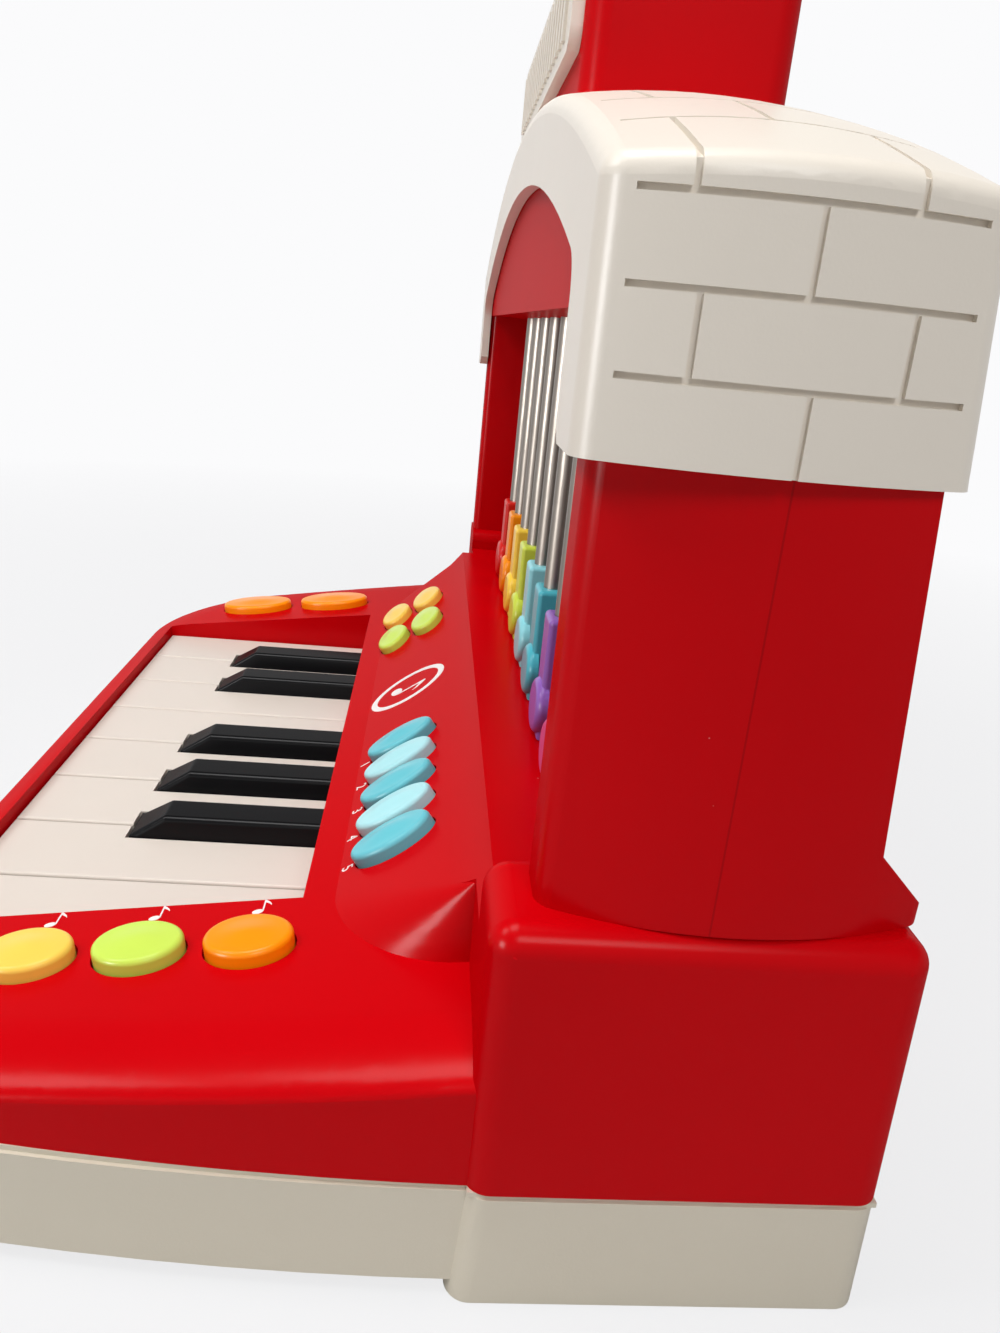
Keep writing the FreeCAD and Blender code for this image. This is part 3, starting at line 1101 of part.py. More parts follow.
def make_arch_cap():
    cap = cap_body(0)
    bars = mortar_bars()
    grooves = bars[0].multiFuse(bars[1:]).cut(cap_body(MORTAR_DEPTH))
    neck_room = box(-NECK_HALF - SLIDE_GAP, NECK_HALF + SLIDE_GAP, CAP_FRONT_Y + CAP_WALL,
                    tower_back_y(PILLAR_TOP_Z) - NECK_BACK_INSET + SLIDE_GAP,
                    PILLAR_TOP_Z - OVERRUN, PILLAR_TOP_Z + CAP_WALL + OVERRUN)
    cap = cap.cut(cap_body(CAP_WALL)).cut(neck_room).cut(arch_opening())
    for corner in both_sides(leg_chamfer()):
        cap = cap.cut(corner)
    for side in both_sides(grooves):
        cap = cap.cut(side)
    return cap


# Box on the roof
def make_top_box():
    outer = box(-TOP_HALF, TOP_HALF, TOP_FRONT_Y, TOP_BACK_Y, SIGN_BOTTOM_Z - TOP_HALF, TOP_BOX_Z)
    outer = rounded(outer, TOP_ROUND, lambda edge: edge.BoundBox.ZMax > SIGN_BOTTOM_Z)
    inner = box(TOP_WALL - TOP_HALF, TOP_HALF - TOP_WALL, TOP_FRONT_Y + TOP_WALL, TOP_BACK_Y - TOP_WALL,
                SIGN_BOTTOM_Z - TOP_HALF - OVERRUN, TOP_BOX_Z - TOP_WALL)
    above = box(-TOP_HALF, TOP_HALF, TOP_FRONT_Y, TOP_BACK_Y, NECK_CROWN_Z, TOP_BOX_Z)
    return outer.cut(inner).common(above).cut(cap_body(0))


def make_sign_plate():
    front = TOP_FRONT_Y - SIGN_THICKNESS
    plate = box(-SIGN_HALF, SIGN_HALF, front, TOP_FRONT_Y, SIGN_BOTTOM_Z, SIGN_TOP_Z)
    plate = rounded(plate, SIGN_ROUND, lambda edge: edge.BoundBox.YLength > SIGN_THICKNESS / 2)
    count = int((SIGN_HALF - SIGN_ROUND) * 2 / SIGN_RIB_PITCH)
    first = -(count - 1) * SIGN_RIB_PITCH / 2
    ribs = []
    for index in range(count):
        x = first + index * SIGN_RIB_PITCH
        ribs.append(box(x - SIGN_RIB_WIDTH / 2, x + SIGN_RIB_WIDTH / 2, front - SIGN_RIB_RISE, front,
                        SIGN_BOTTOM_Z + SIGN_RIB_MARGIN, SIGN_TOP_Z - SIGN_RIB_MARGIN))
    return plate.multiFuse(ribs)


# Keys
def make_white_key(index):
    x = white_x(index)
    half = (KEY_PITCH - KEY_GAP) / 2
    key = box(x - half, x + half, KEY_FRONT_Y, KEY_BOSS_END_Y, KEY_BOTTOM_Z, KEY_TOP_Z)
    at_top = lambda edge: edge.BoundBox.ZMin > KEY_TOP_Z - NEAR and edge.BoundBox.YMin < KEY_NECK_Y
    key = rounded(key, KEY_EDGE_ROUND, at_top)
    notch_y = BLACK_TIP_Y - KEY_GAP
    cuts = [box(x - half + KEY_SIDE, x + half - KEY_SIDE, KEY_FRONT_Y + KEY_SIDE, notch_y - KEY_SIDE,
                KEY_BOTTOM_Z - OVERRUN, KEY_TOP_Z - KEY_SKIN)]
    low = KEY_BOTTOM_Z - OVERRUN
    high = KEY_TOP_Z + OVERRUN
    for whites in BLACK_AFTER_WHITE:
        notch = boundary_x(whites)
        room = BLACK_WIDTH / 2 + KEY_GAP
        if abs(notch - x) < KEY_PITCH:
            cuts.append(box(notch - room, notch + room, notch_y, KEY_BOSS_END_Y + OVERRUN, low, high))
    boss = KEY_BOSS_WIDTH / 2
    for side in (-1, 1):
        edges = sorted((x + side * boss, x + side * KEY_PITCH))
        cuts.append(box(*edges, KEY_NECK_Y, KEY_BOSS_END_Y + OVERRUN, low, high))
    key = key.cut(Part.makeCompound(cuts[:1]))
    for cut in cuts[1:]:
        key = key.cut(cut)
    tail = box(x - TAIL_WIDTH / 2, x + TAIL_WIDTH / 2, PIVOT_Y + AXLE_RADIUS * 2, TAIL_END_Y,
               TAIL_TOP_Z - TAIL_HEIGHT, TAIL_TOP_Z)
    return key.fuse(tail).cut(axle_bore(x)).removeSplitter()


def axle_bore(x):
    return rod(Vector(x - KEY_PITCH, PIVOT_Y, PIVOT_Z), ACROSS, AXLE_RADIUS + BORE_GAP, KEY_PITCH * 2)


def make_black_key(whites):
    """Narrow key with sloped sides and a wedge nose."""
    x = boundary_x(whites)
    top_z = KEY_TOP_Z + BLACK_RISE
    body = box(x - BLACK_WIDTH / 2, x + BLACK_WIDTH / 2, BLACK_TIP_Y, KEY_BOSS_END_Y, KEY_BOTTOM_Z, KEY_TOP_Z)
    half = BLACK_WIDTH / 2
    half_top = BLACK_TOP_WIDTH / 2
    low_ring = [Vector(x - half, BLACK_TIP_Y, KEY_TOP_Z), Vector(x + half, BLACK_TIP_Y, KEY_TOP_Z),
                Vector(x + half, KEY_BOSS_END_Y, KEY_TOP_Z), Vector(x - half, KEY_BOSS_END_Y, KEY_TOP_Z)]
    nose_y = BLACK_TIP_Y + BLACK_NOSE
    high_ring = [Vector(x - half_top, nose_y, top_z), Vector(x + half_top, nose_y, top_z),
                 Vector(x + half_top, KEY_BOSS_END_Y, top_z), Vector(x - half_top, KEY_BOSS_END_Y, top_z)]
    crown = Part.makeLoft([Part.makePolygon(low_ring + low_ring[:1]),
                           Part.makePolygon(high_ring + high_ring[:1])], True, True)
    softened = lambda edge: edge.BoundBox.ZMax > top_z - NEAR and edge.BoundBox.YMin < KEY_NECK_Y
    crown = rounded(crown, BLACK_ROUND, softened)
    return body.fuse(crown).cut(axle_bore(x)).removeSplitter()


def make_hopper(index):
    """Note-shaped piece: stem on its rod, tilted oval head in front, and a leg down to the key tail."""
    x = white_x(index)
    stem = box(x - HOPPER_STEM_HALF, x + HOPPER_STEM_HALF, HOPPER_STEM_FRONT_Y, HOPPER_STEM_BACK_Y,
               HOPPER_BOTTOM_Z, HOPPER_TOP_Z)
    stem = rounded(stem, HOPPER_ROUND, lambda edge: edge.BoundBox.ZMax > HOPPER_BOTTOM_Z + HOPPER_ROUND)
    depth = ROD_Y - ROD_RADIUS - HOPPER_HEAD_FRONT_Y
    head = ellipse_bar(HOPPER_HEAD_HALF_LONG, HOPPER_HEAD_HALF_HIGH, 0, depth)
    head = rounded(head, HOPPER_HEAD_ROUND, lambda edge: edge.BoundBox.ZMin > depth - NEAR)
    tilt = math.radians(HOPPER_HEAD_TILT_DEG)
    reach_down = math.hypot(HOPPER_HEAD_HALF_LONG * math.sin(tilt), HOPPER_HEAD_HALF_HIGH * math.cos(tilt))
    centre = Vector(x, HOPPER_HEAD_FRONT_Y + depth, HOPPER_BOTTOM_Z + reach_down)
    head = placed(head, centre, Vector(math.cos(tilt), 0, math.sin(tilt)), -BACKWARD)
    leg_low = TAIL_TOP_Z + SLIDE_GAP
    leg = rod(Vector(x, LEG_Y, leg_low), UP, LEG_RADIUS, centre.z - leg_low)
    bore = rod(Vector(x, ROD_Y, HOPPER_BOTTOM_Z - OVERRUN), UP, ROD_RADIUS + BORE_GAP,
               HOPPER_TOP_Z - HOPPER_BOTTOM_Z + OVERRUN * 2)
    return joined([stem, head, leg]).cut(bore)


def make_guide_rods():
    low = SILL_Z - CASE_WALL
    length = WINDOW_TOP_Z + ROD_SEAT - low
    return Part.makeCompound([rod(Vector(white_x(index), ROD_Y, low), UP, ROD_RADIUS, length)
                              for index in range(WHITE_COUNT)])


# Boards, mats and the rest of the inside
def make_key_board():
    return box(-BOARD_HALF, BOARD_HALF, BOARD_FRONT_Y, BOARD_BACK_Y,
               KEY_BOARD_Z, KEY_BOARD_Z + BOARD_THICKNESS)


def dome_height(y):
    """Height that the pressed key just clears."""
    drop = (PIVOT_Y - y + KEY_DOME_RADIUS) * math.sin(math.radians(KEY_PRESS_DEG))
    return KEY_BOTTOM_Z - drop - KEY_DOME_ROOM - MAT_TOP_Z


def make_contact_mat():
    floor = KEY_BOARD_Z + BOARD_THICKNESS
    mat = box(MAT_MARGIN - BOARD_HALF, BOARD_HALF - MAT_MARGIN, BOARD_FRONT_Y + MAT_MARGIN,
              BOARD_BACK_Y - MAT_MARGIN, floor, MAT_TOP_Z)
    places = [(white_x(index), WHITE_DOME_Y) for index in range(WHITE_COUNT)]
    places += [(boundary_x(whites), BLACK_DOME_Y) for whites in BLACK_AFTER_WHITE]
    domes = [Part.makeCone(KEY_DOME_RADIUS, KEY_DOME_RADIUS / 2, dome_height(y), Vector(x, y, MAT_TOP_Z), UP)
             for x, y in places]
    return mat.multiFuse(domes)


def make_button_boards():
    boards = []
    panel = box(PANEL_BOARD_LOW, PANEL_BOARD_LOW + PANEL_BOARD_LENGTH, -PANEL_BOARD_HALF, PANEL_BOARD_HALF,
                -BOARD_DEPTH - BOARD_THICKNESS, -BOARD_DEPTH)
    boards.append(placed(panel, PANEL_FOOT, PANEL_BACKWARD, PANEL_UP))
    for x, first_y, pitch, count, half_long in CHEEK_ROWS:
        back, front = cheek_post_ys(first_y, pitch, count, half_long)
        middle = (front + back) / 2
        half = (back - front) / 2 + BOARD_POST_RADIUS
        board = box(-half, half, -CHEEK_BOARD_HALF, CHEEK_BOARD_HALF,
                    -BOARD_DEPTH - BOARD_THICKNESS, -BOARD_DEPTH)
        boards.append(placed(board, Vector(x, middle, deck_z(middle)), DECK_BACKWARD, DECK_UP))
    return Part.makeCompound(boards)


def make_button_domes():
    dome = Part.makeCone(DOME_RADIUS, DOME_RADIUS / 2, DOME_HEIGHT, Vector(0, 0, -BOARD_DEPTH), UP)
    return Part.makeCompound([placed(dome, point, along, up)
                              for name, half_long, half_short, rise, point, along, up in button_places()])


def make_speaker():
    def at(z):
        return Vector(0, SPEAKER_Y, z)
    rim_z = TRAY_FLOOR_Z + SPEAKER_RIM
    magnet_z = rim_z + SPEAKER_CONE_HEIGHT
    rim = rod(at(TRAY_FLOOR_Z), UP, SPEAKER_RADIUS, SPEAKER_RIM)
    cone = Part.makeCone(SPEAKER_RADIUS - SPEAKER_RIM, SPEAKER_MAGNET_RADIUS, SPEAKER_CONE_HEIGHT,
                         at(rim_z), UP)
    magnet = rod(at(magnet_z), UP, SPEAKER_MAGNET_RADIUS, SPEAKER_MAGNET_HEIGHT)
    hollow = Part.makeCone(SPEAKER_RADIUS - SPEAKER_RIM * 2, SPEAKER_MAGNET_RADIUS / 2,
                           SPEAKER_CONE_HEIGHT, at(TRAY_FLOOR_Z), UP)
    return joined([rim, cone, magnet]).cut(hollow)


def cell_x(index):
    return CELL_MID_X + (index - (CELL_COUNT - 1) / 2) * CELL_PITCH


CELL_Z = DOOR_SEAT_Z + CELL_RADIUS


def make_batteries():
    cells = []
    for index in range(CELL_COUNT):
        body = rod(Vector(cell_x(index), CELL_FRONT_Y, CELL_Z), BACKWARD, CELL_RADIUS,
                   CELL_LENGTH - CELL_NIPPLE)
        nipple = rod(Vector(cell_x(index), CELL_FRONT_Y, CELL_Z), BACKWARD, CELL_NIPPLE_RADIUS, CELL_LENGTH)
        cells.append(joined([body, nipple]))
    return Part.makeCompound(cells)


def make_battery_contacts():
    plates = []
    for index in range(CELL_COUNT):
        x = cell_x(index)
        for y in (BAY_FRONT_Y, BAY_BACK_Y - CONTACT_THICKNESS):
            plates.append(box(x - CONTACT_HALF, x + CONTACT_HALF, y, y + CONTACT_THICKNESS,
                              CELL_Z - CONTACT_HALF, CELL_Z + CONTACT_HALF))
    return Part.makeCompound(plates)


def make_battery_door():
    bottom = DOOR_SEAT_Z - DOOR_THICKNESS
    door = box(*door_plan(SLIDE_GAP), bottom, DOOR_SEAT_Z)
    hole = rod(Vector(CELL_MID_X, BAY_FRONT_Y - DOOR_TAB, -OVERRUN), UP, SCREW_RADIUS + SLIDE_GAP, OVERRUN * 3)
    seat = rod(Vector(CELL_MID_X, BAY_FRONT_Y - DOOR_TAB, -OVERRUN), UP, SCREW_HEAD_RADIUS + SLIDE_GAP,
               OVERRUN + bottom + DOOR_HEAD_HEIGHT)
    return door.cut(hole).cut(seat)


def screw(foot, direction, shank):
    """Pan-head screw: the head ends at the foot point and the shank goes on from there."""
    head = rod(foot - direction * SCREW_HEAD_HEIGHT, direction, SCREW_HEAD_RADIUS, SCREW_HEAD_HEIGHT)
    return joined([head, rod(foot, direction, SCREW_RADIUS, shank)])


def make_door_screw():
    bottom = DOOR_SEAT_Z - DOOR_THICKNESS
    head = rod(Vector(CELL_MID_X, BAY_FRONT_Y - DOOR_TAB, bottom), UP, SCREW_HEAD_RADIUS, DOOR_HEAD_HEIGHT)
    shank = rod(Vector(CELL_MID_X, BAY_FRONT_Y - DOOR_TAB, bottom), UP, SCREW_RADIUS, SCREW_CASE_BITE)
    return joined([head, shank])


def make_case_screws():
    seat = TRAY_BOTTOM_Z + HEAD_SEAT
    shank = SEAM_Z - seat + SCREW_CASE_BITE - SLIDE_GAP
    return Part.makeCompound([screw(Vector(x, y, seat), UP, shank) for x, y in case_screw_places()])


def make_tower_screws():
    screws = []
    for x, z in tower_screw_places():
        seat = screw_seat_y(z)
        screws.append(screw(Vector(x, seat, z), -BACKWARD, seat - TOWER_SPLIT_Y + TOWER_SCREW_BITE))
    under = BLOCK_TOP_Z - CASE_WALL
    for x, y in stand_screw_places():
        screws.append(screw(Vector(x, y, under), UP, CASE_WALL + STAND_SCREW_BITE))
    return Part.makeCompound(screws)


def make_rubber_feet():
    feet = []
    for side in (-1, 1):
        for x, y in ((DECK_HALF - FEET_FROM_END, FRONT_Y + FEET_FROM_FRONT),
                     (FEET_REAR_X, BACK_Y - FEET_FROM_BACK)):
            feet.append(rod(Vector(side * x, y, 0), UP, FEET_RADIUS, TRAY_BOTTOM_Z))
    return Part.makeCompound(feet)


def make_power_slider():
    plate_z = TRAY_FLOOR_Z + SLIDE_GAP
    plate = box(SLIDER_X - SLIDER_PLATE_HALF, SLIDER_X + SLIDER_PLATE_HALF, SLIDER_Y - SLIDER_PLATE_LENGTH / 2,
                SLIDER_Y + SLIDER_PLATE_LENGTH / 2, plate_z, plate_z + SLIDER_PLATE)
    knob = box(SLIDER_X - KNOB_HALF, SLIDER_X + KNOB_HALF, SLIDER_Y - KNOB_LENGTH / 2, SLIDER_Y + KNOB_LENGTH / 2,
               TRAY_BOTTOM_Z - KNOB_DROP, plate_z)
    return joined([plate, knob])


def lead(route):
    """Round lead along straight runs joined by tangent arcs as large as the runs allow."""
    points = [Vector(x, y, TRAY_FLOOR_Z + LEAD_RADIUS) for x, y in route]
    edges = []
    start = points[0]
    for before, corner, after in zip(points, points[1:], points[2:]):
        incoming = corner - before
        outgoing = after - corner
        setback = LEAD_BEND_SHARE * min(incoming.Length, outgoing.Length)
        half_turn = incoming.getAngle(outgoing) / 2
        radius = setback / math.tan(half_turn)
        print("lead bend radius", round(radius, 1))
        incoming.normalize()
        outgoing.normalize()
        enter = corner - incoming * setback
        leave = corner + outgoing * setback
        middle = corner + (outgoing - incoming).normalize() * (radius / math.cos(half_turn) - radius)
        edges.append(Part.makeLine(start, enter))
        edges.append(Part.Arc(enter, middle, leave).toShape())
        start = leave
    edges.append(Part.makeLine(start, points[-1]))
    path = Part.Wire(edges)
    ring = Part.Wire(Part.makeCircle(LEAD_RADIUS, points[0], points[1] - points[0]))
    return path.makePipeShell([ring], True, True)


def make_wiring():
    return Part.makeCompound([lead(SPEAKER_LEAD_ROUTE), lead(BATTERY_LEAD_ROUTE)])


def make_key_axle():
    return rod(Vector(-AXLE_HALF, PIVOT_Y, PIVOT_Z), ACROSS, AXLE_RADIUS, AXLE_HALF * 2)


def build():
    parts = {
        "base_tray": make_base_tray(),
        "deck_shell": make_deck_shell(),
        "tower_front": make_tower_front(),
        "tower_back": make_tower_back(),
        "stage_panel": make_stage_panel(),
        "arch_cap": make_arch_cap(),
        "top_box": make_top_box(),
        "sign_plate": make_sign_plate(),
        "guide_rods": make_guide_rods(),
        "key_axle": make_key_axle(),
        "key_board": make_key_board(),
        "contact_mat": make_contact_mat(),
        "button_boards": make_button_boards(),
        "button_domes": make_button_domes(),
        "speaker": make_speaker(),
        "batteries": make_batteries(),
        "battery_contacts": make_battery_contacts(),
        "battery_door": make_battery_door(),
        "door_screw": make_door_screw(),
        "case_screws": make_case_screws(),
        "tower_screws": make_tower_screws(),
        "rubber_feet": make_rubber_feet(),
        "wiring": make_wiring(),
        "power_slider": make_power_slider(),
    }
    for index in range(WHITE_COUNT):
        parts["white_key_%d" % (index + 1)] = make_white_key(index)
        parts["note_hopper_%d" % (index + 1)] = make_hopper(index)
    for number, whites in enumerate(BLACK_AFTER_WHITE):
        parts["black_key_%d" % (number + 1)] = make_black_key(whites)
    for name, half_long, half_short, rise, point, along, up in button_places():
        parts[name] = placed(button(half_long, half_short, rise), point, along, up)
    return parts


os.makedirs("parts", exist_ok=True)
for node, shape in build().items():
    shape.exportStep("parts/%s.step" % node)
    print(node, len(shape.Solids), shape.isValid(), round(shape.Volume, 1))
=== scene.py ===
import math

import bmesh
import bpy
from mathutils import Matrix, Vector


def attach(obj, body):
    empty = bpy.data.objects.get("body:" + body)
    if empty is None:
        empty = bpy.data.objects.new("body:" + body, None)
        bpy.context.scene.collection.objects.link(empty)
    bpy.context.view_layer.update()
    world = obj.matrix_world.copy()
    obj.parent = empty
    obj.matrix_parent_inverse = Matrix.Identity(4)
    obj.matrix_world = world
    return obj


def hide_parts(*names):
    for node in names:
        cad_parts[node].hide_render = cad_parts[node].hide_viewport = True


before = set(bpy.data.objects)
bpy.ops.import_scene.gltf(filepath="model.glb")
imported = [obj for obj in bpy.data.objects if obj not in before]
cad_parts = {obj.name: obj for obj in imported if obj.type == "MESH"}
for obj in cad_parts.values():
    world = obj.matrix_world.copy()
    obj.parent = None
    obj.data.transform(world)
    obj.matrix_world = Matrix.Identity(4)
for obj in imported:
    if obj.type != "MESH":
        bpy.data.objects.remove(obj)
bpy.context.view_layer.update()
scene = bpy.context.scene
scene.view_settings.view_transform = "Standard"


# Base tray: the lower half of the case, with a flared foot at each end.
# It is one moulding in warm off-white plastic with a fine satin skin, screwed up into the deck.
def paint(code):
    """Linear colour from a six-figure screen colour."""
    values = [int(code[i:i + 2], 16) / 255 for i in (0, 2, 4)]
    linear = [v / 12.92 if v <= 0.04045 else ((v + 0.055) / 1.055) ** 2.4 for v in values]
    return (*linear, 1.0)


def wire(tree, source, target):
    tree.links.new(source, target)


def noise_of(tree, place, scale, detail, roughness):
    node = tree.nodes.new("ShaderNodeTexNoise")
    node.inputs["Scale"].default_value = scale
    node.inputs["Detail"].default_value = detail
    node.inputs["Roughness"].default_value = roughness
    wire(tree, place, node.inputs["Vector"])
    return node.outputs["Fac"]


def maths(tree, kind, first, second):
    node = tree.nodes.new("ShaderNodeMath")
    node.operation = kind
    for socket, value in zip(node.inputs, (first, second)):
        if isinstance(value, (int, float)):
            socket.default_value = value
        else:
            wire(tree, value, socket)
    return node.outputs[0]


def ramped(tree, value, low, high, to_low=0.0, to_high=1.0):
    node = tree.nodes.new("ShaderNodeMapRange")
    node.inputs["From Min"].default_value = low
    node.inputs["From Max"].default_value = high
    node.inputs["To Min"].default_value = to_low
    node.inputs["To Max"].default_value = to_high
    wire(tree, value, node.inputs["Value"])
    return node.outputs["Result"]


def mixed(tree, factor, first, second):
    node = tree.nodes.new("ShaderNodeMix")
    node.data_type = "RGBA"
    wire(tree, factor, node.inputs["Factor"])
    for socket, value in zip((node.inputs[6], node.inputs[7]), (first, second)):
        if isinstance(value, tuple):
            socket.default_value = value
        else:
            wire(tree, value, socket)
    return node.outputs[2]


def moulded_skin_group():
    """Slow colour drift, polish marks, a few dust specks and a fine mould grain for any plastic."""
    tree = bpy.data.node_groups.new("moulded_skin", "ShaderNodeTree")
    for name in ("Colour", "Shade"):
        tree.interface.new_socket(name, in_out="INPUT", socket_type="NodeSocketColor")
    for name in ("Drift", "Polish", "Scuff", "Dust", "Grain"):
        tree.interface.new_socket(name, in_out="INPUT", socket_type="NodeSocketFloat")
    tree.interface.new_socket("Colour", in_out="OUTPUT", socket_type="NodeSocketColor")
    for name in ("Roughness", "Height"):
        tree.interface.new_socket(name, in_out="OUTPUT", socket_type="NodeSocketFloat")
    given = tree.nodes.new("NodeGroupInput").outputs
    made = tree.nodes.new("NodeGroupOutput").inputs
    place = tree.nodes.new("ShaderNodeTexCoord").outputs["Object"]

    drift = maths(tree, "MULTIPLY", noise_of(tree, place, 18.0, 3.0, 0.5), given["Drift"])
    tinted = mixed(tree, drift, given["Colour"], given["Shade"])

    cells = tree.nodes.new("ShaderNodeTexVoronoi")
    cells.inputs["Scale"].default_value = 170.0
    wire(tree, place, cells.inputs["Vector"])
    chosen = tree.nodes.new("ShaderNodeSeparateColor")
    wire(tree, cells.outputs["Color"], chosen.inputs[0])
    dots = ramped(tree, cells.outputs["Distance"], 0.03, 0.015)
    rare = ramped(tree, chosen.outputs[0], 0.90, 0.91)
    dust = maths(tree, "MULTIPLY", maths(tree, "MULTIPLY", dots, rare), given["Dust"])
    wire(tree, mixed(tree, dust, tinted, paint("E6E1DA")), made["Colour"])

    haze = ramped(tree, noise_of(tree, place, 90.0, 4.0, 0.6), 0.0, 1.0, -0.04, 0.04)
    marks = ramped(tree, noise_of(tree, place, 420.0, 6.0, 0.75), 0.58, 0.76)
    scuffs = maths(tree, "MULTIPLY", marks, given["Scuff"])
    rough = maths(tree, "ADD", maths(tree, "ADD", given["Polish"], haze), scuffs)
    wire(tree, maths(tree, "ADD", rough, maths(tree, "MULTIPLY", dust, 0.4)), made["Roughness"])

    grain = tree.nodes.new("ShaderNodeTexNoise")
    grain.inputs["Detail"].default_value = 2.0
    wire(tree, place, grain.inputs["Vector"])
    wire(tree, given["Grain"], grain.inputs["Scale"])
    wire(tree, grain.outputs["Fac"], made["Height"])
    return tree


MOULDED_SKIN = moulded_skin_group()
GRAIN_DEPTH = 0.0003
PLASTIC_IOR = 1.49
LACQUER_ROUGHNESS = 0.24


def plastic(name, colour, shade, polish, drift=0.5, scuff=0.08, dust=0.0, grain=1800.0, bump=0.05,
            gloss=0.5, lacquer=0.0):
    """Moulded plastic: Principled surface fed by the moulded skin."""
    material = bpy.data.materials.new(name)
    material.use_nodes = True
    tree = material.node_tree
    surface = tree.nodes["Principled BSDF"]
    skin = tree.nodes.new("ShaderNodeGroup")
    skin.name = "moulded_skin"
    skin.node_tree = MOULDED_SKIN
    skin.inputs["Colour"].default_value = paint(colour)
    skin.inputs["Shade"].default_value = paint(shade)
    amounts = {"Drift": drift, "Polish": polish, "Scuff": scuff, "Dust": dust, "Grain": grain}
    for socket, value in amounts.items():
        skin.inputs[socket].default_value = value
    relief = tree.nodes.new("ShaderNodeBump")
    relief.inputs["Strength"].default_value = bump
    relief.inputs["Distance"].default_value = GRAIN_DEPTH
    wire(tree, skin.outputs["Colour"], surface.inputs["Base Color"])
    wire(tree, skin.outputs["Roughness"], surface.inputs["Roughness"])
    wire(tree, skin.outputs["Height"], relief.inputs["Height"])
    wire(tree, relief.outputs["Normal"], surface.inputs["Normal"])
    surface.inputs["IOR"].default_value = PLASTIC_IOR
    surface.inputs["Specular IOR Level"].default_value = gloss
    surface.inputs["Coat Weight"].default_value = lacquer
    surface.inputs["Coat Roughness"].default_value = LACQUER_ROUGHNESS
    return material


def painted(node, material):
    """Give a CAD node that stays in view its finish."""
    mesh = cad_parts[node].data
    mesh.materials.clear()
    mesh.materials.append(material)


IVORY_BASE = plastic("ivory_base_plastic", "DAD2C0", "CCC3B0", 0.4, scuff=0.14, dust=0.2, bump=0.1,
                     gloss=0.35)
painted("base_tray", IVORY_BASE)


# Battery door: a plain off-white lid under the right foot, held by one plated screw.
# It lets the cells be changed from below without opening the case.
painted("battery_door", IVORY_BASE)


# Screws: small plated pan heads with a cross recess that hold the case, the tower and the door.
# Rolled steel with a thin bright plating, driven up from below and in from the back.
def brushed_metal(name, colour, shade, polish, stretch):
    """Metal with fine marks that run one way."""
    material = bpy.data.materials.new(name)
    material.use_nodes = True
    tree = material.node_tree
    surface = tree.nodes["Principled BSDF"]
    turn = tree.nodes.new("ShaderNodeMapping")
    turn.inputs["Scale"].default_value = stretch
    wire(tree, tree.nodes.new("ShaderNodeTexCoord").outputs["Object"], turn.inputs["Vector"])
    marks = noise_of(tree, turn.outputs["Vector"], 1.0, 5.0, 0.5)
    relief = tree.nodes.new("ShaderNodeBump")
    relief.inputs["Strength"].default_value = 0.15
    relief.inputs["Distance"].default_value = 0.0002
    wire(tree, mixed(tree, marks, paint(colour), paint(shade)), surface.inputs["Base Color"])
    wire(tree, ramped(tree, marks, 0.0, 1.0, polish - 0.08, polish + 0.12), surface.inputs["Roughness"])
    wire(tree, marks, relief.inputs["Height"])
    wire(tree, relief.outputs["Normal"], surface.inputs["Normal"])
    surface.inputs["Metallic"].default_value = 1.0
    return material


def flattened(piece):
    """Turn a piece with modifiers into a plain mesh."""
    bpy.context.view_layer.update()
    ready = piece.evaluated_get(bpy.context.evaluated_depsgraph_get())
    mesh = bpy.data.meshes.new_from_object(ready)
    piece.modifiers.clear()
    piece.data = mesh
    return piece


def laid_out(piece, tree, sizes):
    """Run a node tree on a piece with its named sizes and keep the result as a plain mesh."""
    layout = piece.modifiers.new("layout", "NODES")
    layout.node_group = tree
    for item in tree.interface.items_tree:
        if item.in_out == "INPUT" and item.name in sizes:
            layout[item.identifier] = sizes[item.name]
    return flattened(piece)


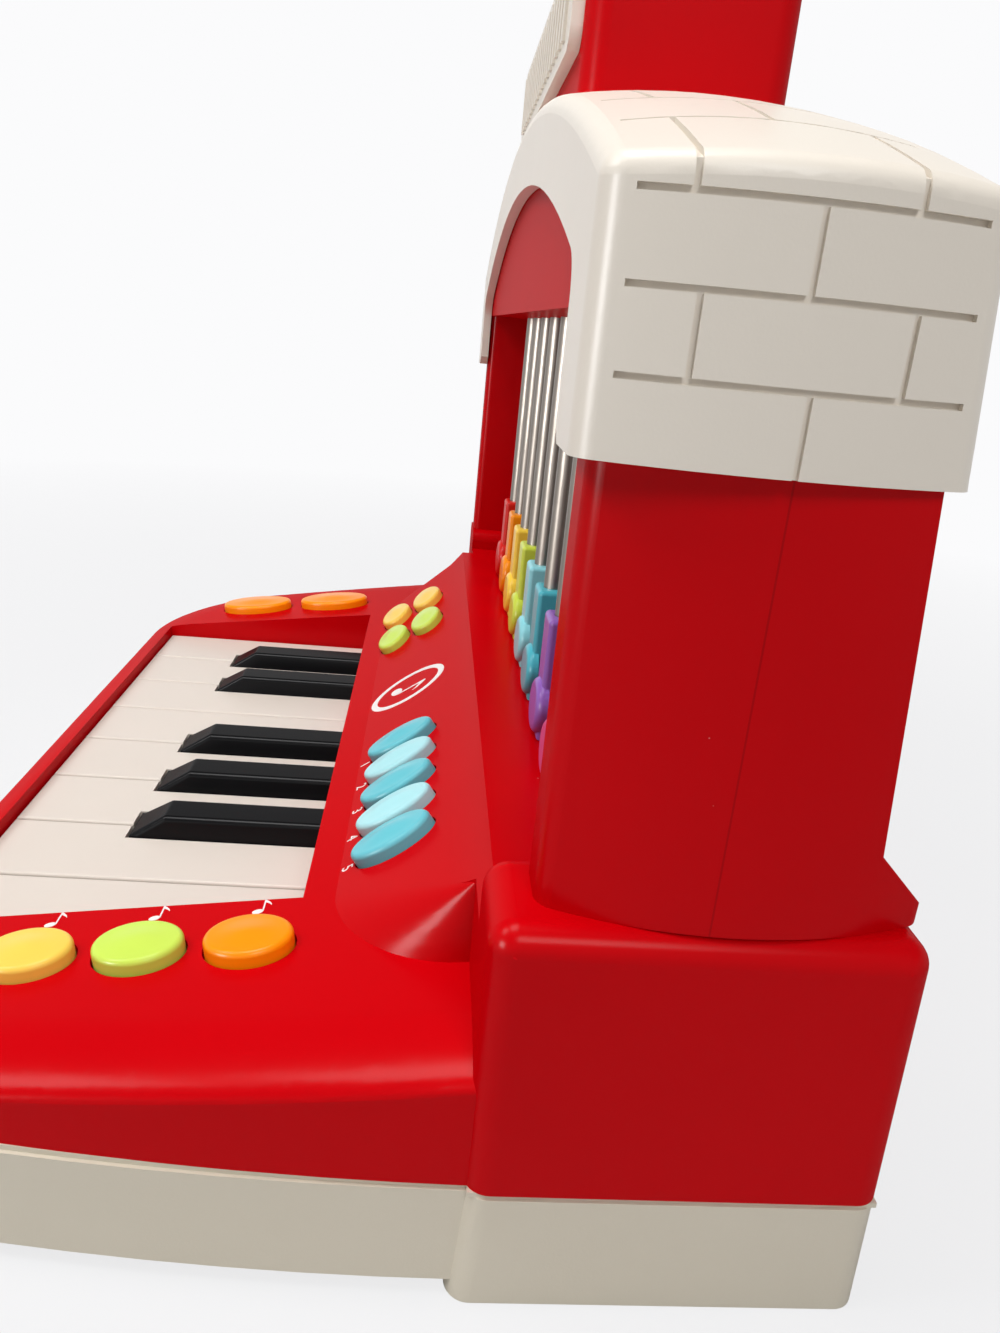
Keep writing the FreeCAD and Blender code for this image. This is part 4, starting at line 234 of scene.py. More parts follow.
def cross_screw_tree():
    """A pan-head screw with a cross recess on every point, turned and sized by the point's attributes."""
    tree = bpy.data.node_groups.new("cross_screws", "GeometryNodeTree")
    tree.interface.new_socket("Points", in_out="INPUT", socket_type="NodeSocketGeometry")
    for name in ("Head Radius", "Head Height", "Shank Radius",
                 "Recess Length", "Recess Width", "Recess Depth"):
        tree.interface.new_socket(name, in_out="INPUT", socket_type="NodeSocketFloat")
    tree.interface.new_socket("Finish", in_out="INPUT", socket_type="NodeSocketMaterial")
    tree.interface.new_socket("Screws", in_out="OUTPUT", socket_type="NodeSocketGeometry")
    given = tree.nodes.new("NodeGroupInput").outputs
    made = tree.nodes.new("NodeGroupOutput").inputs

    def vector(x, y, z):
        node = tree.nodes.new("ShaderNodeCombineXYZ")
        for socket, value in zip(node.inputs, (x, y, z)):
            if isinstance(value, (int, float)):
                socket.default_value = value
            else:
                wire(tree, value, socket)
        return node.outputs[0]

    def moved(shape, place):
        node = tree.nodes.new("GeometryNodeTransform")
        wire(tree, shape, node.inputs["Geometry"])
        wire(tree, place, node.inputs["Translation"])
        return node.outputs["Geometry"]

    def point_value(name, kind):
        node = tree.nodes.new("GeometryNodeInputNamedAttribute")
        node.data_type = kind
        node.inputs["Name"].default_value = name
        return node.outputs["Attribute"]

    head = tree.nodes.new("GeometryNodeMeshCone")
    head.inputs["Vertices"].default_value = 32
    wire(tree, given["Head Radius"], head.inputs["Radius Top"])
    wire(tree, maths(tree, "MULTIPLY", given["Head Radius"], 0.82), head.inputs["Radius Bottom"])
    wire(tree, given["Head Height"], head.inputs["Depth"])
    below = maths(tree, "MULTIPLY", given["Head Height"], -1.0)
    recess = tree.nodes.new("GeometryNodeMeshBoolean")
    recess.operation = "DIFFERENCE"
    wire(tree, moved(head.outputs["Mesh"], vector(0.0, 0.0, below)), recess.inputs["Mesh 1"])
    for long_way in (True, False):
        bar = tree.nodes.new("GeometryNodeMeshCube")
        sides = (given["Recess Length"], given["Recess Width"])
        across, along = sides if long_way else sides[::-1]
        deep = maths(tree, "MULTIPLY", given["Recess Depth"], 2.0)
        wire(tree, vector(across, along, deep), bar.inputs["Size"])
        wire(tree, moved(bar.outputs["Mesh"], vector(0.0, 0.0, below)), recess.inputs["Mesh 2"])

    shank = tree.nodes.new("GeometryNodeMeshCylinder")
    shank.inputs["Vertices"].default_value = 20
    shank.inputs["Depth"].default_value = 1.0
    wire(tree, given["Shank Radius"], shank.inputs["Radius"])
    parts = tree.nodes.new("GeometryNodeJoinGeometry")
    for shape, scale in ((recess.outputs["Mesh"], None),
                         (moved(shank.outputs["Mesh"], vector(0.0, 0.0, 0.5)),
                          vector(1.0, 1.0, point_value("shank", "FLOAT")))):
        placed = tree.nodes.new("GeometryNodeInstanceOnPoints")
        wire(tree, given["Points"], placed.inputs["Points"])
        wire(tree, shape, placed.inputs["Instance"])
        wire(tree, point_value("turn", "FLOAT_VECTOR"), placed.inputs["Rotation"])
        if scale is not None:
            wire(tree, scale, placed.inputs["Scale"])
        wire(tree, placed.outputs["Instances"], parts.inputs["Geometry"])
    real = tree.nodes.new("GeometryNodeRealizeInstances")
    finish = tree.nodes.new("GeometryNodeSetMaterial")
    wire(tree, parts.outputs["Geometry"], real.inputs["Geometry"])
    wire(tree, real.outputs["Geometry"], finish.inputs["Geometry"])
    wire(tree, given["Finish"], finish.inputs["Material"])
    wire(tree, finish.outputs["Geometry"], made["Screws"])
    return tree


CROSS_SCREWS = cross_screw_tree()
PLATED_STEEL = brushed_metal("plated_steel", "C4C2BE", "8F8D8A", 0.28, (900.0, 900.0, 2500.0))
DRIVEN_UP = (0.0, 0.0, 0.0)
DRIVEN_FORWARD = (math.pi / 2, 0.0, 0.0)
HEAD_HEIGHT = 0.002
LOW_HEAD_HEIGHT = 0.0011
# Each place is x, y, z of the head, the turn of the screw and the length of its shank.
CASE_PLACES = [(side * x, y, 0.008, DRIVEN_UP, 0.0257) for side in (-1, 1)
               for x, y in ((0.148, -0.030), (0.148, 0.012), (0.074, 0.086))]
TOWER_PLACES = [(side * 0.1515, y, z, DRIVEN_FORWARD, y - 0.047) for side in (-1, 1)
                for y, z in ((0.07931, 0.098), (0.07602, 0.138))]
TOWER_PLACES += [(side * 0.153, y, 0.0724, DRIVEN_UP, 0.0096) for side in (-1, 1)
                 for y in (0.048, 0.072)]
DOOR_PLACES = [(0.13675, 0.0312, 0.0015, DRIVEN_UP, 0.0089)]


def screws(node, places, head_height):
    """Screws that stand for a CAD node."""
    points = bpy.data.meshes.new(node + "_places")
    points.from_pydata([place[:3] for place in places], [], [])
    turns = points.attributes.new("turn", "FLOAT_VECTOR", "POINT")
    for index, place in enumerate(places):
        turns.data[index].vector = place[3]
    shanks = points.attributes.new("shank", "FLOAT", "POINT")
    for index, place in enumerate(places):
        shanks.data[index].value = place[4]
    piece = bpy.data.objects.new(node + "_cross", points)
    scene.collection.objects.link(piece)
    laid_out(piece, CROSS_SCREWS, {
        "Head Radius": 0.003, "Head Height": head_height, "Shank Radius": 0.0014,
        "Recess Length": 0.0034, "Recess Width": 0.0009, "Recess Depth": head_height * 0.6,
        "Finish": PLATED_STEEL})
    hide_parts(node)
    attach(piece, "housing")


screws("case_screws", CASE_PLACES, HEAD_HEIGHT)
screws("tower_screws", TOWER_PLACES, HEAD_HEIGHT)
screws("door_screw", DOOR_PLACES, LOW_HEAD_HEIGHT)


# Key axle and battery contacts: a steel pin through the keys and sprung strips in the battery bay.
# Drawn and stamped steel with the same thin plating as the screws.
for node in ("key_axle", "battery_contacts"):
    painted(node, PLATED_STEEL)


# Rubber feet, contact mat and button domes: the soft moulded pieces.
# Grey rubber with a dry, slightly dusty skin, pressed into place.
RUBBER = plastic("grey_rubber", "3A3A3B", "2A2A2B", 0.72, scuff=0.2, dust=0.4, grain=1500.0, bump=0.35)
for node in ("rubber_feet", "contact_mat", "button_domes"):
    painted(node, RUBBER)


# Circuit boards: one under the keys and three under the buttons.
# Laminate with a green lacquer and slightly raised copper tracks.
def circuit_lacquer():
    material = bpy.data.materials.new("board_lacquer")
    material.use_nodes = True
    tree = material.node_tree
    surface = tree.nodes["Principled BSDF"]
    place = tree.nodes.new("ShaderNodeTexCoord").outputs["Object"]
    tracks = tree.nodes.new("ShaderNodeTexBrick")
    tracks.inputs["Scale"].default_value = 60.0
    tracks.inputs["Mortar Size"].default_value = 0.03
    tracks.inputs["Color1"].default_value = paint("1E6B34")
    tracks.inputs["Color2"].default_value = paint("1A5F2E")
    tracks.inputs["Mortar"].default_value = paint("3B8C4C")
    relief = tree.nodes.new("ShaderNodeBump")
    relief.inputs["Strength"].default_value = 0.2
    relief.inputs["Distance"].default_value = 0.0002
    wire(tree, place, tracks.inputs["Vector"])
    wire(tree, tracks.outputs["Color"], surface.inputs["Base Color"])
    wire(tree, tracks.outputs["Fac"], relief.inputs["Height"])
    wire(tree, relief.outputs["Normal"], surface.inputs["Normal"])
    haze = noise_of(tree, place, 700.0, 3.0, 0.6)
    wire(tree, ramped(tree, haze, 0.0, 1.0, 0.22, 0.4), surface.inputs["Roughness"])
    return material


BOARD_LACQUER = circuit_lacquer()
for node in ("key_board", "button_boards"):
    painted(node, BOARD_LACQUER)


# Speaker, cells and leads: the working parts in the tray.
# Painted steel, printed sleeves and soft black jackets, held by collars, contacts and the boards.
painted("speaker", plastic("speaker_paint", "2B2B2D", "1E1E20", 0.42, scuff=0.2, bump=0.2))
painted("batteries", plastic("cell_sleeve", "3A3A40", "26262A", 0.3, scuff=0.15))
painted("wiring", plastic("lead_jacket", "1C1C1E", "121214", 0.5, scuff=0.2))


# Power slide: a small black knob under the right cheek that runs in two rails of the tray.
# Matte moulding with four grip ribs across its face.
def even_row_tree():
    """Copies of one shape at even steps along a line."""
    tree = bpy.data.node_groups.new("even_row", "GeometryNodeTree")
    for name, kind in (("Shape", "NodeSocketGeometry"), ("Count", "NodeSocketInt"),
                       ("Step", "NodeSocketVector"), ("Finish", "NodeSocketMaterial")):
        tree.interface.new_socket(name, in_out="INPUT", socket_type=kind)
    tree.interface.new_socket("Row", in_out="OUTPUT", socket_type="NodeSocketGeometry")
    given = tree.nodes.new("NodeGroupInput").outputs
    made = tree.nodes.new("NodeGroupOutput").inputs
    line = tree.nodes.new("GeometryNodeMeshLine")
    placed = tree.nodes.new("GeometryNodeInstanceOnPoints")
    real = tree.nodes.new("GeometryNodeRealizeInstances")
    finish = tree.nodes.new("GeometryNodeSetMaterial")
    wire(tree, given["Count"], line.inputs["Count"])
    wire(tree, given["Step"], line.inputs["Offset"])
    wire(tree, line.outputs["Mesh"], placed.inputs["Points"])
    wire(tree, given["Shape"], placed.inputs["Instance"])
    wire(tree, placed.outputs["Instances"], real.inputs["Geometry"])
    wire(tree, real.outputs["Geometry"], finish.inputs["Geometry"])
    wire(tree, given["Finish"], finish.inputs["Material"])
    wire(tree, finish.outputs["Geometry"], made["Row"])
    return tree


def set_down(work, name, material, crease):
    """Put a finished mesh in the scene with smooth faces and sharp creases."""
    limit = math.radians(crease)
    for face in work.faces:
        face.smooth = True
        face.material_index = 0
    for edge in work.edges:
        edge.smooth = len(edge.link_faces) == 2 and edge.calc_face_angle() < limit
    mesh = bpy.data.meshes.new(name)
    work.to_mesh(mesh)
    work.free()
    mesh.materials.append(material)
    piece = bpy.data.objects.new(name, mesh)
    scene.collection.objects.link(piece)
    return piece


EVEN_ROW = even_row_tree()
SLIDE_BLACK = plastic("slide_black", "1A1A1C", "101012", 0.45, scuff=0.2, bump=0.2)
KNOB_FACE = Vector((0.128, -0.008, 0.0014))
RIB_STEP = 0.0015
RIB_COUNT = 4
RIB_HALF = 0.0026
RIB_RADIUS = 0.0004
RIB_POINTS = 9


def grip_ribs():
    work = bmesh.new()
    first = KNOB_FACE - Vector((0, RIB_STEP * (RIB_COUNT - 1) / 2, 0))
    angles = [math.pi + math.pi * step / (RIB_POINTS - 1) for step in range(RIB_POINTS)]
    arc = [(RIB_RADIUS * math.cos(angle), RIB_RADIUS * math.sin(angle)) for angle in angles]
    rings = [[work.verts.new(first + Vector((x, y, z))) for y, z in arc] for x in (-RIB_HALF, RIB_HALF)]
    for index in range(RIB_POINTS):
        after = (index + 1) % RIB_POINTS
        work.faces.new((rings[0][index], rings[0][after], rings[1][after], rings[1][index]))
    work.faces.new(rings[0])
    work.faces.new(rings[1])
    bmesh.ops.recalc_face_normals(work, faces=work.faces)
    piece = set_down(work, "slide_ribs", SLIDE_BLACK, 40.0)
    laid_out(piece, EVEN_ROW, {"Count": RIB_COUNT, "Step": (0.0, RIB_STEP, 0.0),
                               "Finish": SLIDE_BLACK})
    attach(piece, "power_slider")


painted("power_slider", SLIDE_BLACK)
grip_ribs()


# Deck shell: the red upper half of the case with its cheeks, key well, panel and end blocks.
# One high-gloss moulding, seated on the tray along a fine shadow line.
RED_GLOSS = plastic("red_gloss_plastic", "C60009", "B20007", 0.3, scuff=0.05, dust=0.35, bump=0.012,
                    gloss=0.0, lacquer=0.16)
painted("deck_shell", RED_GLOSS)


# White keys: eight hollow keys on one steel axle.
# Satin off-white plastic with softly rounded top edges.
KEY_IVORY = plastic("key_ivory_plastic", "DCD3C9", "D1C7BC", 0.34, scuff=0.05, grain=3000.0, bump=0.02,
                    gloss=0.4)
for number in range(1, 9):
    painted("white_key_%d" % number, KEY_IVORY)


# Black keys: five raised keys with a sloped nose, between the white ones.
# Polished black plastic with rounded shoulders.
KEY_BLACK = plastic("key_black_plastic", "0B0B0C", "161618", 0.3, scuff=0.08, dust=0.2, bump=0.015,
                    gloss=0.0, lacquer=0.3)
for number in range(1, 6):
    painted("black_key_%d" % number, KEY_BLACK)


# Push buttons: oval caps in the cheeks and the sloped panel.
# Each is a coloured moulding with a flange under the skin; its top is domed here in even rings.
DECK_RISE = 0.0163
DECK_RUN = 0.1232
DECK_TILT = math.atan(DECK_RISE / DECK_RUN)
PANEL_TILT = math.radians(35.0)
DOME_RINGS = 10
WELD = 2e-6
COLOURS = {
    "turquoise": ("6AC2CE", "58B5C3"),
    "aqua": ("AEE2E7", "9AD7DF"),
    "yellow": ("F7D05A", "EFC048"),
    "lime": ("CBE45C", "B6D94E"),
    "orange": ("FF9608", "F68602"),
}
BUTTON_PLASTIC = {name: plastic(name + "_plastic", *pair, 0.3, dust=0.15, bump=0.04, gloss=0.1,
                                lacquer=0.25)
                  for name, pair in COLOURS.items()}


def in_order(edges):
    """Points of one closed loop of edges, in turn."""
    follow = {}
    for edge in edges:
        for vert in edge.verts:
            follow.setdefault(vert, []).append(edge.other_vert(vert))
    first = edges[0].verts[0]
    loop = [first, follow[first][0]]
    while True:
        ahead = [vert for vert in follow[loop[-1]] if vert is not loop[-2]][0]
        if ahead is first:
            return loop
        loop.append(ahead)


def domed_button(node, colour, tilt, rise):
    """Button skin whose flat top is raised into a low dome."""
    up = Vector((0, -math.sin(tilt), math.cos(tilt)))
    work = bmesh.new()
    work.from_mesh(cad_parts[node].data)
    bmesh.ops.remove_doubles(work, verts=work.verts, dist=WELD)
    top = max(vert.co.dot(up) for vert in work.verts)
    lid = {face for face in work.faces if all(vert.co.dot(up) > top - WELD for vert in face.verts)}
    rim = in_order([edge for face in lid for edge in face.edges
                    if sum(other in lid for other in edge.link_faces) == 1])
    bmesh.ops.delete(work, geom=list(lid), context="FACES")
    centre = sum((vert.co for vert in rim), Vector()) / len(rim)
    outer = rim
    for step in range(1, DOME_RINGS):
        share = step / DOME_RINGS
        lift = up * rise * share * share * (3 - 2 * share)
        inner = [work.verts.new(centre + (vert.co - centre) * (1 - share) + lift) for vert in rim]
        for index in range(len(rim)):
            work.faces.new((outer[index - 1], outer[index], inner[index], inner[index - 1]))
        outer = inner
    crown = work.verts.new(centre + up * rise)
    for index in range(len(rim)):
        work.faces.new((outer[index - 1], outer[index], crown))
    bmesh.ops.recalc_face_normals(work, faces=work.faces)
    piece = set_down(work, node + "_skin", BUTTON_PLASTIC[colour], 40.0)
    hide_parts(node)
    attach(piece, node)


for number, colour in enumerate(("yellow", "lime", "orange"), 1):
    domed_button("tune_button_%d" % number, colour, DECK_TILT, 0.0007)
for number in (1, 2):
    domed_button("drum_pad_%d" % number, "orange", DECK_TILT, 0.0008)
for number, colour in enumerate(("turquoise", "aqua", "turquoise", "aqua", "turquoise"), 1):
    domed_button("tone_button_%d" % number, colour, PANEL_TILT, 0.0010)
for number, colour in enumerate(("yellow", "yellow", "lime", "lime"), 1):
    domed_button("beat_button_%d" % number, colour, PANEL_TILT, 0.0009)


# Printed marks: a plain oval with a note on the panel, numbers by the tone buttons and notes by
# the tune buttons. White ink stamped on the red plastic, a hair thick.
INK_WHITE = plastic("white_ink", "F3EEEC", "E3DAD8", 0.5, drift=0.7, scuff=0.25, bump=0.1)
INK_THICK = 0.00012
INK_SINK = 0.00003
PANEL_FOOT = Vector((0.0, -0.0025, 0.04366))
DECK_FRONT = Vector((0.0, -0.0982, 0.031))
RING_ALONG = 0.014
RING_POINTS = 72
RING_OUTER = (0.0115, 0.0132)
RING_INNER = (0.0094, 0.0111)
RING_NOTE_ALONG = 0.0142
RING_NOTE_HEIGHT = 0.0125
TUNE_NOTE_X = 0.1112
TUNE_NOTE_ALONG = 0.0390
TUNE_NOTE_HEIGHT = 0.0052
TUNE_COUNT = 3
TUNE_PITCH = 0.0212
FIGURE_SIZE = 0.0042
FIGURE_ALONG = 0.0006
FIGURE_FIRST_X = 0.0442
FIGURE_PITCH = 0.0137


def on_slope(foot, tilt, x, along, turned=False):
    """Place on a sloped face: across is X and up the slope is Y, or a quarter turn from that."""
    slope = Vector((0, math.cos(tilt), math.sin(tilt)))
    out = Vector((0, -math.sin(tilt), math.cos(tilt)))
    across, ahead = (slope, Vector((-1, 0, 0))) if turned else (Vector((1, 0, 0)), slope)
    place = Matrix((across, ahead, out)).transposed().to_4x4()
    place.translation = foot + Vector((x, 0, 0)) + slope * along - out * INK_SINK
    return place


def stamped(work, place, outline, hole=None):
    """Raised ink with a closed outline, and a hole of as many points if it is a ring."""
    low = [work.verts.new(place @ Vector((x, y, 0))) for x, y in outline]
    high = [work.verts.new(place @ Vector((x, y, INK_THICK))) for x, y in outline]
    count = len(outline)
    for index in range(count):
        work.faces.new((low[index - 1], low[index], high[index], high[index - 1]))
    if hole is None:
        work.faces.new(high)
        work.faces.new(low[::-1])
        return
    low_in = [work.verts.new(place @ Vector((x, y, 0))) for x, y in hole]
    high_in = [work.verts.new(place @ Vector((x, y, INK_THICK))) for x, y in hole]
    for index in range(count):
        work.faces.new((high[index - 1], high[index], high_in[index], high_in[index - 1]))
        work.faces.new((low[index], low[index - 1], low_in[index - 1], low_in[index]))
        work.faces.new((high_in[index - 1], high_in[index], low_in[index], low_in[index - 1]))


def oval(half_wide, half_high, points, turn=0.0, middle=(0.0, 0.0)):
    steps = [2 * math.pi * index / points for index in range(points)]
    flat = [(half_wide * math.cos(a), half_high * math.sin(a)) for a in steps]
    return [(middle[0] + x * math.cos(turn) - y * math.sin(turn),
             middle[1] + x * math.sin(turn) + y * math.cos(turn)) for x, y in flat]


def note_mark(work, place, height):
    """Plain quaver: a tilted oval head, an upright stem and a curved flag."""
    head = (-0.10 * height, -0.34 * height)
    stem_left, stem_right = 0.07 * height, 0.13 * height
    stamped(work, place, oval(0.22 * height, 0.15 * height, 28, math.radians(22), head))
    stamped(work, place, [(stem_left, -0.30 * height), (stem_right, -0.30 * height),
                          (stem_right, 0.5 * height), (stem_left, 0.5 * height)])
    upper = [(stem_right + 0.26 * height * math.sin(t * 1.5), (0.5 - 0.36 * t) * height)
             for t in [step / 8 for step in range(9)]]
    lower = [(x - 0.02 * height, y - 0.16 * height * (1 - step / 9)) for step, (x, y) in enumerate(upper)]
    stamped(work, place, lower + upper[::-1])


def inked(work, name):
    bmesh.ops.recalc_face_normals(work, faces=work.faces)
    return set_down(work, name, INK_WHITE, 30.0)


def marks_on_housing():
    work = bmesh.new()
    middle = on_slope(PANEL_FOOT, PANEL_TILT, 0.0, RING_ALONG)
    stamped(work, middle, oval(*RING_OUTER, RING_POINTS), oval(*RING_INNER, RING_POINTS))
    note_mark(work, on_slope(PANEL_FOOT, PANEL_TILT, 0.0, RING_NOTE_ALONG), RING_NOTE_HEIGHT)
    ring = inked(work, "panel_oval_print")
    work = bmesh.new()
    first = on_slope(DECK_FRONT, DECK_TILT, TUNE_NOTE_X, TUNE_NOTE_ALONG, turned=True)
    note_mark(work, first, TUNE_NOTE_HEIGHT)
    notes = inked(work, "tune_note_prints")
    step = (0.0, TUNE_PITCH * math.cos(DECK_TILT), TUNE_PITCH * math.sin(DECK_TILT))
    laid_out(notes, EVEN_ROW, {"Count": TUNE_COUNT, "Step": step, "Finish": INK_WHITE})
    for piece in (ring, notes):
        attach(piece, "housing")


def number_print(number):
    """One stamped figure at the foot of the panel."""
    writing = bpy.data.curves.new("figure_%d" % number, "FONT")
    writing.body = str(number)
    writing.size = FIGURE_SIZE
    writing.extrude = INK_THICK / 2
    writing.align_x = "CENTER"
    figure = bpy.data.objects.new("tone_figure_%d" % number, writing)
    scene.collection.objects.link(figure)
    bpy.context.view_layer.update()
    ready = figure.evaluated_get(bpy.context.evaluated_depsgraph_get())
    mesh = bpy.data.meshes.new_from_object(ready)
    bpy.data.objects.remove(figure)
    place = on_slope(PANEL_FOOT, PANEL_TILT, FIGURE_FIRST_X + FIGURE_PITCH * (number - 1), FIGURE_ALONG)
    mesh.transform(place @ Matrix.Translation((0, 0, INK_THICK / 2)))
    mesh.materials.clear()
    mesh.materials.append(INK_WHITE)
    piece = bpy.data.objects.new("tone_figure_%d" % number, mesh)
    scene.collection.objects.link(piece)
    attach(piece, "housing")


marks_on_housing()
for number in range(1, 6):
    number_print(number)


# Tower: two red halves screwed together from the back, standing on the end blocks.
# The same high-gloss moulding as the deck, with a fine parting line down each end.
SPLIT_Y = 0.059
LINE_HALF = 0.0001
LINE_DARK = 0.35


def parted_red():
    material = RED_GLOSS.copy()
    material.name = "red_gloss_tower"
    tree = material.node_tree
    surface = tree.nodes["Principled BSDF"]
    axes = tree.nodes.new("ShaderNodeSeparateXYZ")
    wire(tree, tree.nodes.new("ShaderNodeTexCoord").outputs["Object"], axes.inputs[0])
    gap = maths(tree, "ABSOLUTE", maths(tree, "SUBTRACT", axes.outputs["Y"], SPLIT_Y), 0.0)
    line = ramped(tree, gap, LINE_HALF * 2, LINE_HALF, 0.0, LINE_DARK)
    skin = tree.nodes["moulded_skin"].outputs["Colour"]
    wire(tree, mixed(tree, line, skin, paint("5A0004")), surface.inputs["Base Color"])
    return material


RED_TOWER = parted_red()
for node in ("tower_front", "tower_back"):
    painted(node, RED_TOWER)


# Stage panel: pale grey sheet that closes the window behind the rods.
# Matte sheet plastic, slid into a pocket of the front half.
painted("stage_panel", plastic("stage_grey_sheet", "B2AFAB", "A29F9B", 0.55, scuff=0.15, bump=0.1))


# Guide rods: eight upright rods that the hopping notes slide on.
# Drawn steel with a dull grey finish, seated in the sill and under the arch.
ROD_STEEL = brushed_metal("rod_steel", "9A928A", "6E6862", 0.34, (2600.0, 2600.0, 120.0))
ROD_PROFILE = ((0.0021, 0.0644), (0.0025, 0.0648), (0.0025, 0.1666), (0.0021, 0.1670))
ROD_SIDES = 32
ROD_COUNT = 8
ROD_PLACE = (-0.0945, 0.0455)
KEY_STEP = 0.027


def rod_row():
    work = bmesh.new()
    rings = []
    for radius, z in ROD_PROFILE:
        circle = oval(radius, radius, ROD_SIDES, middle=ROD_PLACE)
        rings.append([work.verts.new((x, y, z)) for x, y in circle])
    for low, high in zip(rings, rings[1:]):
        for index in range(ROD_SIDES):
            work.faces.new((low[index - 1], low[index], high[index], high[index - 1]))
    work.faces.new(rings[0][::-1])
    work.faces.new(rings[-1])
    bmesh.ops.recalc_face_normals(work, faces=work.faces)
    piece = set_down(work, "guide_rod_row", ROD_STEEL, 30.0)
    laid_out(piece, EVEN_ROW, {"Count": ROD_COUNT, "Step": (KEY_STEP, 0.0, 0.0), "Finish": ROD_STEEL})
    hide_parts("guide_rods")
    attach(piece, "housing")


rod_row()


# Hopping notes: eight coloured pieces, each lifted by the tail of its key.
# Satin plastic with rounded edges and an oval note head on the front.
HOP_COLOURS = (
    ("E0281E", "CC1C14"),
    ("FF9A10", "F58806"),
    ("FFD84C", "F6C83C"),
    ("D6E650", "C4D63E"),
    ("98E0E8", "84D2DD"),
    ("54BDCB", "46ADBE"),
    ("9868C0", "8454AE"),
    ("E05F9C", "CE4C8A"),
)
for number, pair in enumerate(HOP_COLOURS, 1):
    hopper = "note_hopper_%d" % number
    painted(hopper, plastic(hopper + "_plastic", *pair, 0.32, dust=0.15, gloss=0.1, lacquer=0.25))


# Arch cap: the off-white roof with a brick pattern on its ends and top.
# One satin moulding that drops over the tower's neck and seats on the pillars.
IVORY_CAP = plastic("ivory_cap_plastic", "E4DCD0", "DBD2C5", 0.36, scuff=0.1, dust=0.2, bump=0.06,
                    gloss=0.4)
painted("arch_cap", IVORY_CAP)


# Roof box and front plate: a red box on the arch with a ribbed off-white plate.
# Gloss red moulding, and a plate clipped to its front.
painted("top_box", RED_GLOSS)
painted("sign_plate", IVORY_CAP)


# Floor: a pale studio sheet that fades into the white backdrop.
# It is only the ground for the picture and takes the soft shadow.
FLOOR_RADIUS = 3.0
FLOOR_DROP = 0.0002
FADE_FROM = 0.2
FADE_TO = 0.8
SEEN_SHARE = 0.2


def pale_floor():
    bpy.ops.mesh.primitive_circle_add(vertices=96, radius=FLOOR_RADIUS, fill_type="NGON",
                                      location=(0, 0, -FLOOR_DROP))
    floor = bpy.context.object
    floor.name = "studio_floor"
    material = bpy.data.materials.new("studio_paper")
    material.use_nodes = True
    tree = material.node_tree
    surface = tree.nodes["Principled BSDF"]
    surface.inputs["Base Color"].default_value = paint("C4C4C6")
    surface.inputs["Roughness"].default_value = 0.9
    clear = tree.nodes.new("ShaderNodeBsdfTransparent")
    blend = tree.nodes.new("ShaderNodeMixShader")
    far = tree.nodes.new("ShaderNodeVectorMath")
    far.operation = "LENGTH"
    wire(tree, tree.nodes.new("ShaderNodeTexCoord").outputs["Object"], far.inputs[0])
    path = tree.nodes.new("ShaderNodeLightPath")
    near = ramped(tree, far.outputs["Value"], FADE_FROM, FADE_TO, 1.0, 0.0)
    thin = ramped(tree, path.outputs["Is Camera Ray"], 0.0, 1.0, 1.0, SEEN_SHARE)
    wire(tree, maths(tree, "SUBTRACT", 1.0, maths(tree, "MULTIPLY", near, thin)), blend.inputs[0])
    wire(tree, surface.outputs[0], blend.inputs[1])
    wire(tree, clear.outputs[0], blend.inputs[2])
    wire(tree, blend.outputs[0], tree.nodes["Material Output"].inputs["Surface"])
    floor.data.materials.append(material)


pale_floor()


# Light: an even pale room, soft lamps overhead, in front and at the end, and a window to the right.
# The window only shows as a shine. The room is plain white, and in the gloss it has a grey ceiling.
CEILING_FROM = 0.3
CEILING_TO = 0.6


def white_room():
    world = bpy.data.worlds.new("white_room")
    scene.world = world
    world.use_nodes = True
    tree = world.node_tree
    ambient = tree.nodes["Background"]
    ambient.inputs["Color"].default_value = (1.0, 1.0, 1.0, 1.0)
    ambient.inputs["Strength"].default_value = 0.32
    axes = tree.nodes.new("ShaderNodeSeparateXYZ")
    wire(tree, tree.nodes.new("ShaderNodeTexCoord").outputs["Generated"], axes.inputs[0])
    seen = tree.nodes.new("ShaderNodeBackground")
    seen.inputs["Strength"].default_value = 1.0
    path = tree.nodes.new("ShaderNodeLightPath")
    ceiling = ramped(tree, axes.outputs["Z"], CEILING_FROM, CEILING_TO)
    mirrored = maths(tree, "MULTIPLY", ceiling, path.outputs["Is Glossy Ray"])
    wire(tree, mixed(tree, mirrored, paint("FBFBFC"), paint("6E6E70")), seen.inputs["Color"])
    direct = maths(tree, "MAXIMUM", path.outputs["Is Camera Ray"], path.outputs["Is Glossy Ray"])
    direct = maths(tree, "MAXIMUM", direct, path.outputs["Is Transmission Ray"])
    blend = tree.nodes.new("ShaderNodeMixShader")
    wire(tree, direct, blend.inputs[0])
    wire(tree, ambient.outputs[0], blend.inputs[1])
    wire(tree, seen.outputs[0], blend.inputs[2])
    wire(tree, blend.outputs[0], tree.nodes["World Output"].inputs["Surface"])


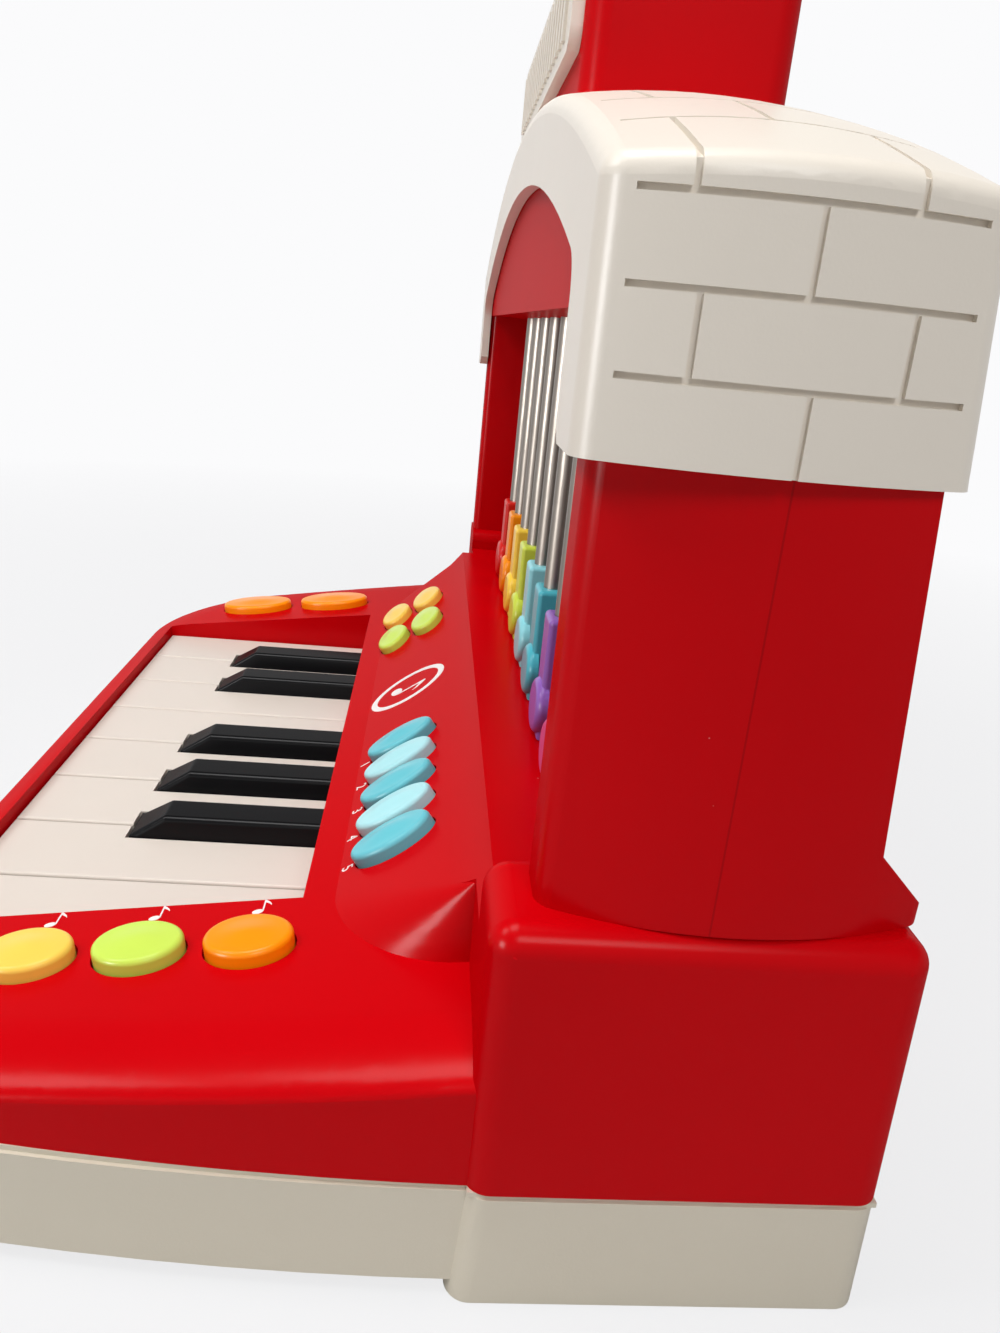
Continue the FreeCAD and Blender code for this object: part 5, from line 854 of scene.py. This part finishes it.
def soft_lamp(name, place, aim, width, height, power, spread=math.pi):
    light = bpy.data.lights.new(name, "AREA")
    light.shape = "RECTANGLE"
    light.size = width
    light.size_y = height
    light.energy = power
    light.spread = spread
    lamp = bpy.data.objects.new(name, light)
    lamp.location = place
    lamp.rotation_euler = (Vector(aim) - Vector(place)).to_track_quat("-Z", "Y").to_euler()
    lamp.visible_camera = False
    scene.collection.objects.link(lamp)
    return lamp


white_room()
soft_lamp("overhead_lamp", place=(0.12, -0.14, 0.95), aim=(0.05, -0.02, 0.05),
          width=0.36, height=0.36, power=4.1)
soft_lamp("front_lamp", place=(0.17, -0.62, 0.78), aim=(0.05, 0, 0.08),
          width=0.32, height=0.32, power=3.6)
soft_lamp("end_lamp", place=(0.75, 0.15, 0.7), aim=(0.167, 0.055, 0.20),
          width=0.3, height=0.3, power=0.34, spread=math.radians(60))
window = soft_lamp("window_lamp", place=(0.65, -0.83, 0.2), aim=(0.13, 0.02, 0.06),
                   width=0.3, height=0.32, power=9.0)
window.visible_diffuse = False


# Camera: close to the right-hand end and a little above it, as in the picture.
# A wide lens, tipped down and slightly rolled.
EYE = (0.2951, 0.01105, 0.1607)
YAW = math.radians(5.06)
PITCH = math.radians(18.64)
ROLL = math.radians(5.68)
FOCAL_LENGTH = 27.0
SENSOR_WIDTH = 36.0


def end_camera():
    ahead = math.cos(PITCH)
    look = Vector((-math.cos(YAW) * ahead, math.sin(YAW) * ahead, -math.sin(PITCH)))
    level = Vector((math.sin(YAW), math.cos(YAW), 0))
    down = look.cross(level)
    right = math.cos(ROLL) * level - math.sin(ROLL) * down
    below = math.sin(ROLL) * level + math.cos(ROLL) * down
    lens = bpy.data.cameras.new("end_camera")
    lens.sensor_width = SENSOR_WIDTH
    lens.lens = FOCAL_LENGTH
    lens.clip_start = 0.01
    camera = bpy.data.objects.new("end_camera", lens)
    turn = Matrix((right, -below, -look)).transposed()
    camera.matrix_world = Matrix.Translation(EYE) @ turn.to_4x4()
    scene.collection.objects.link(camera)
    scene.camera = camera


end_camera()
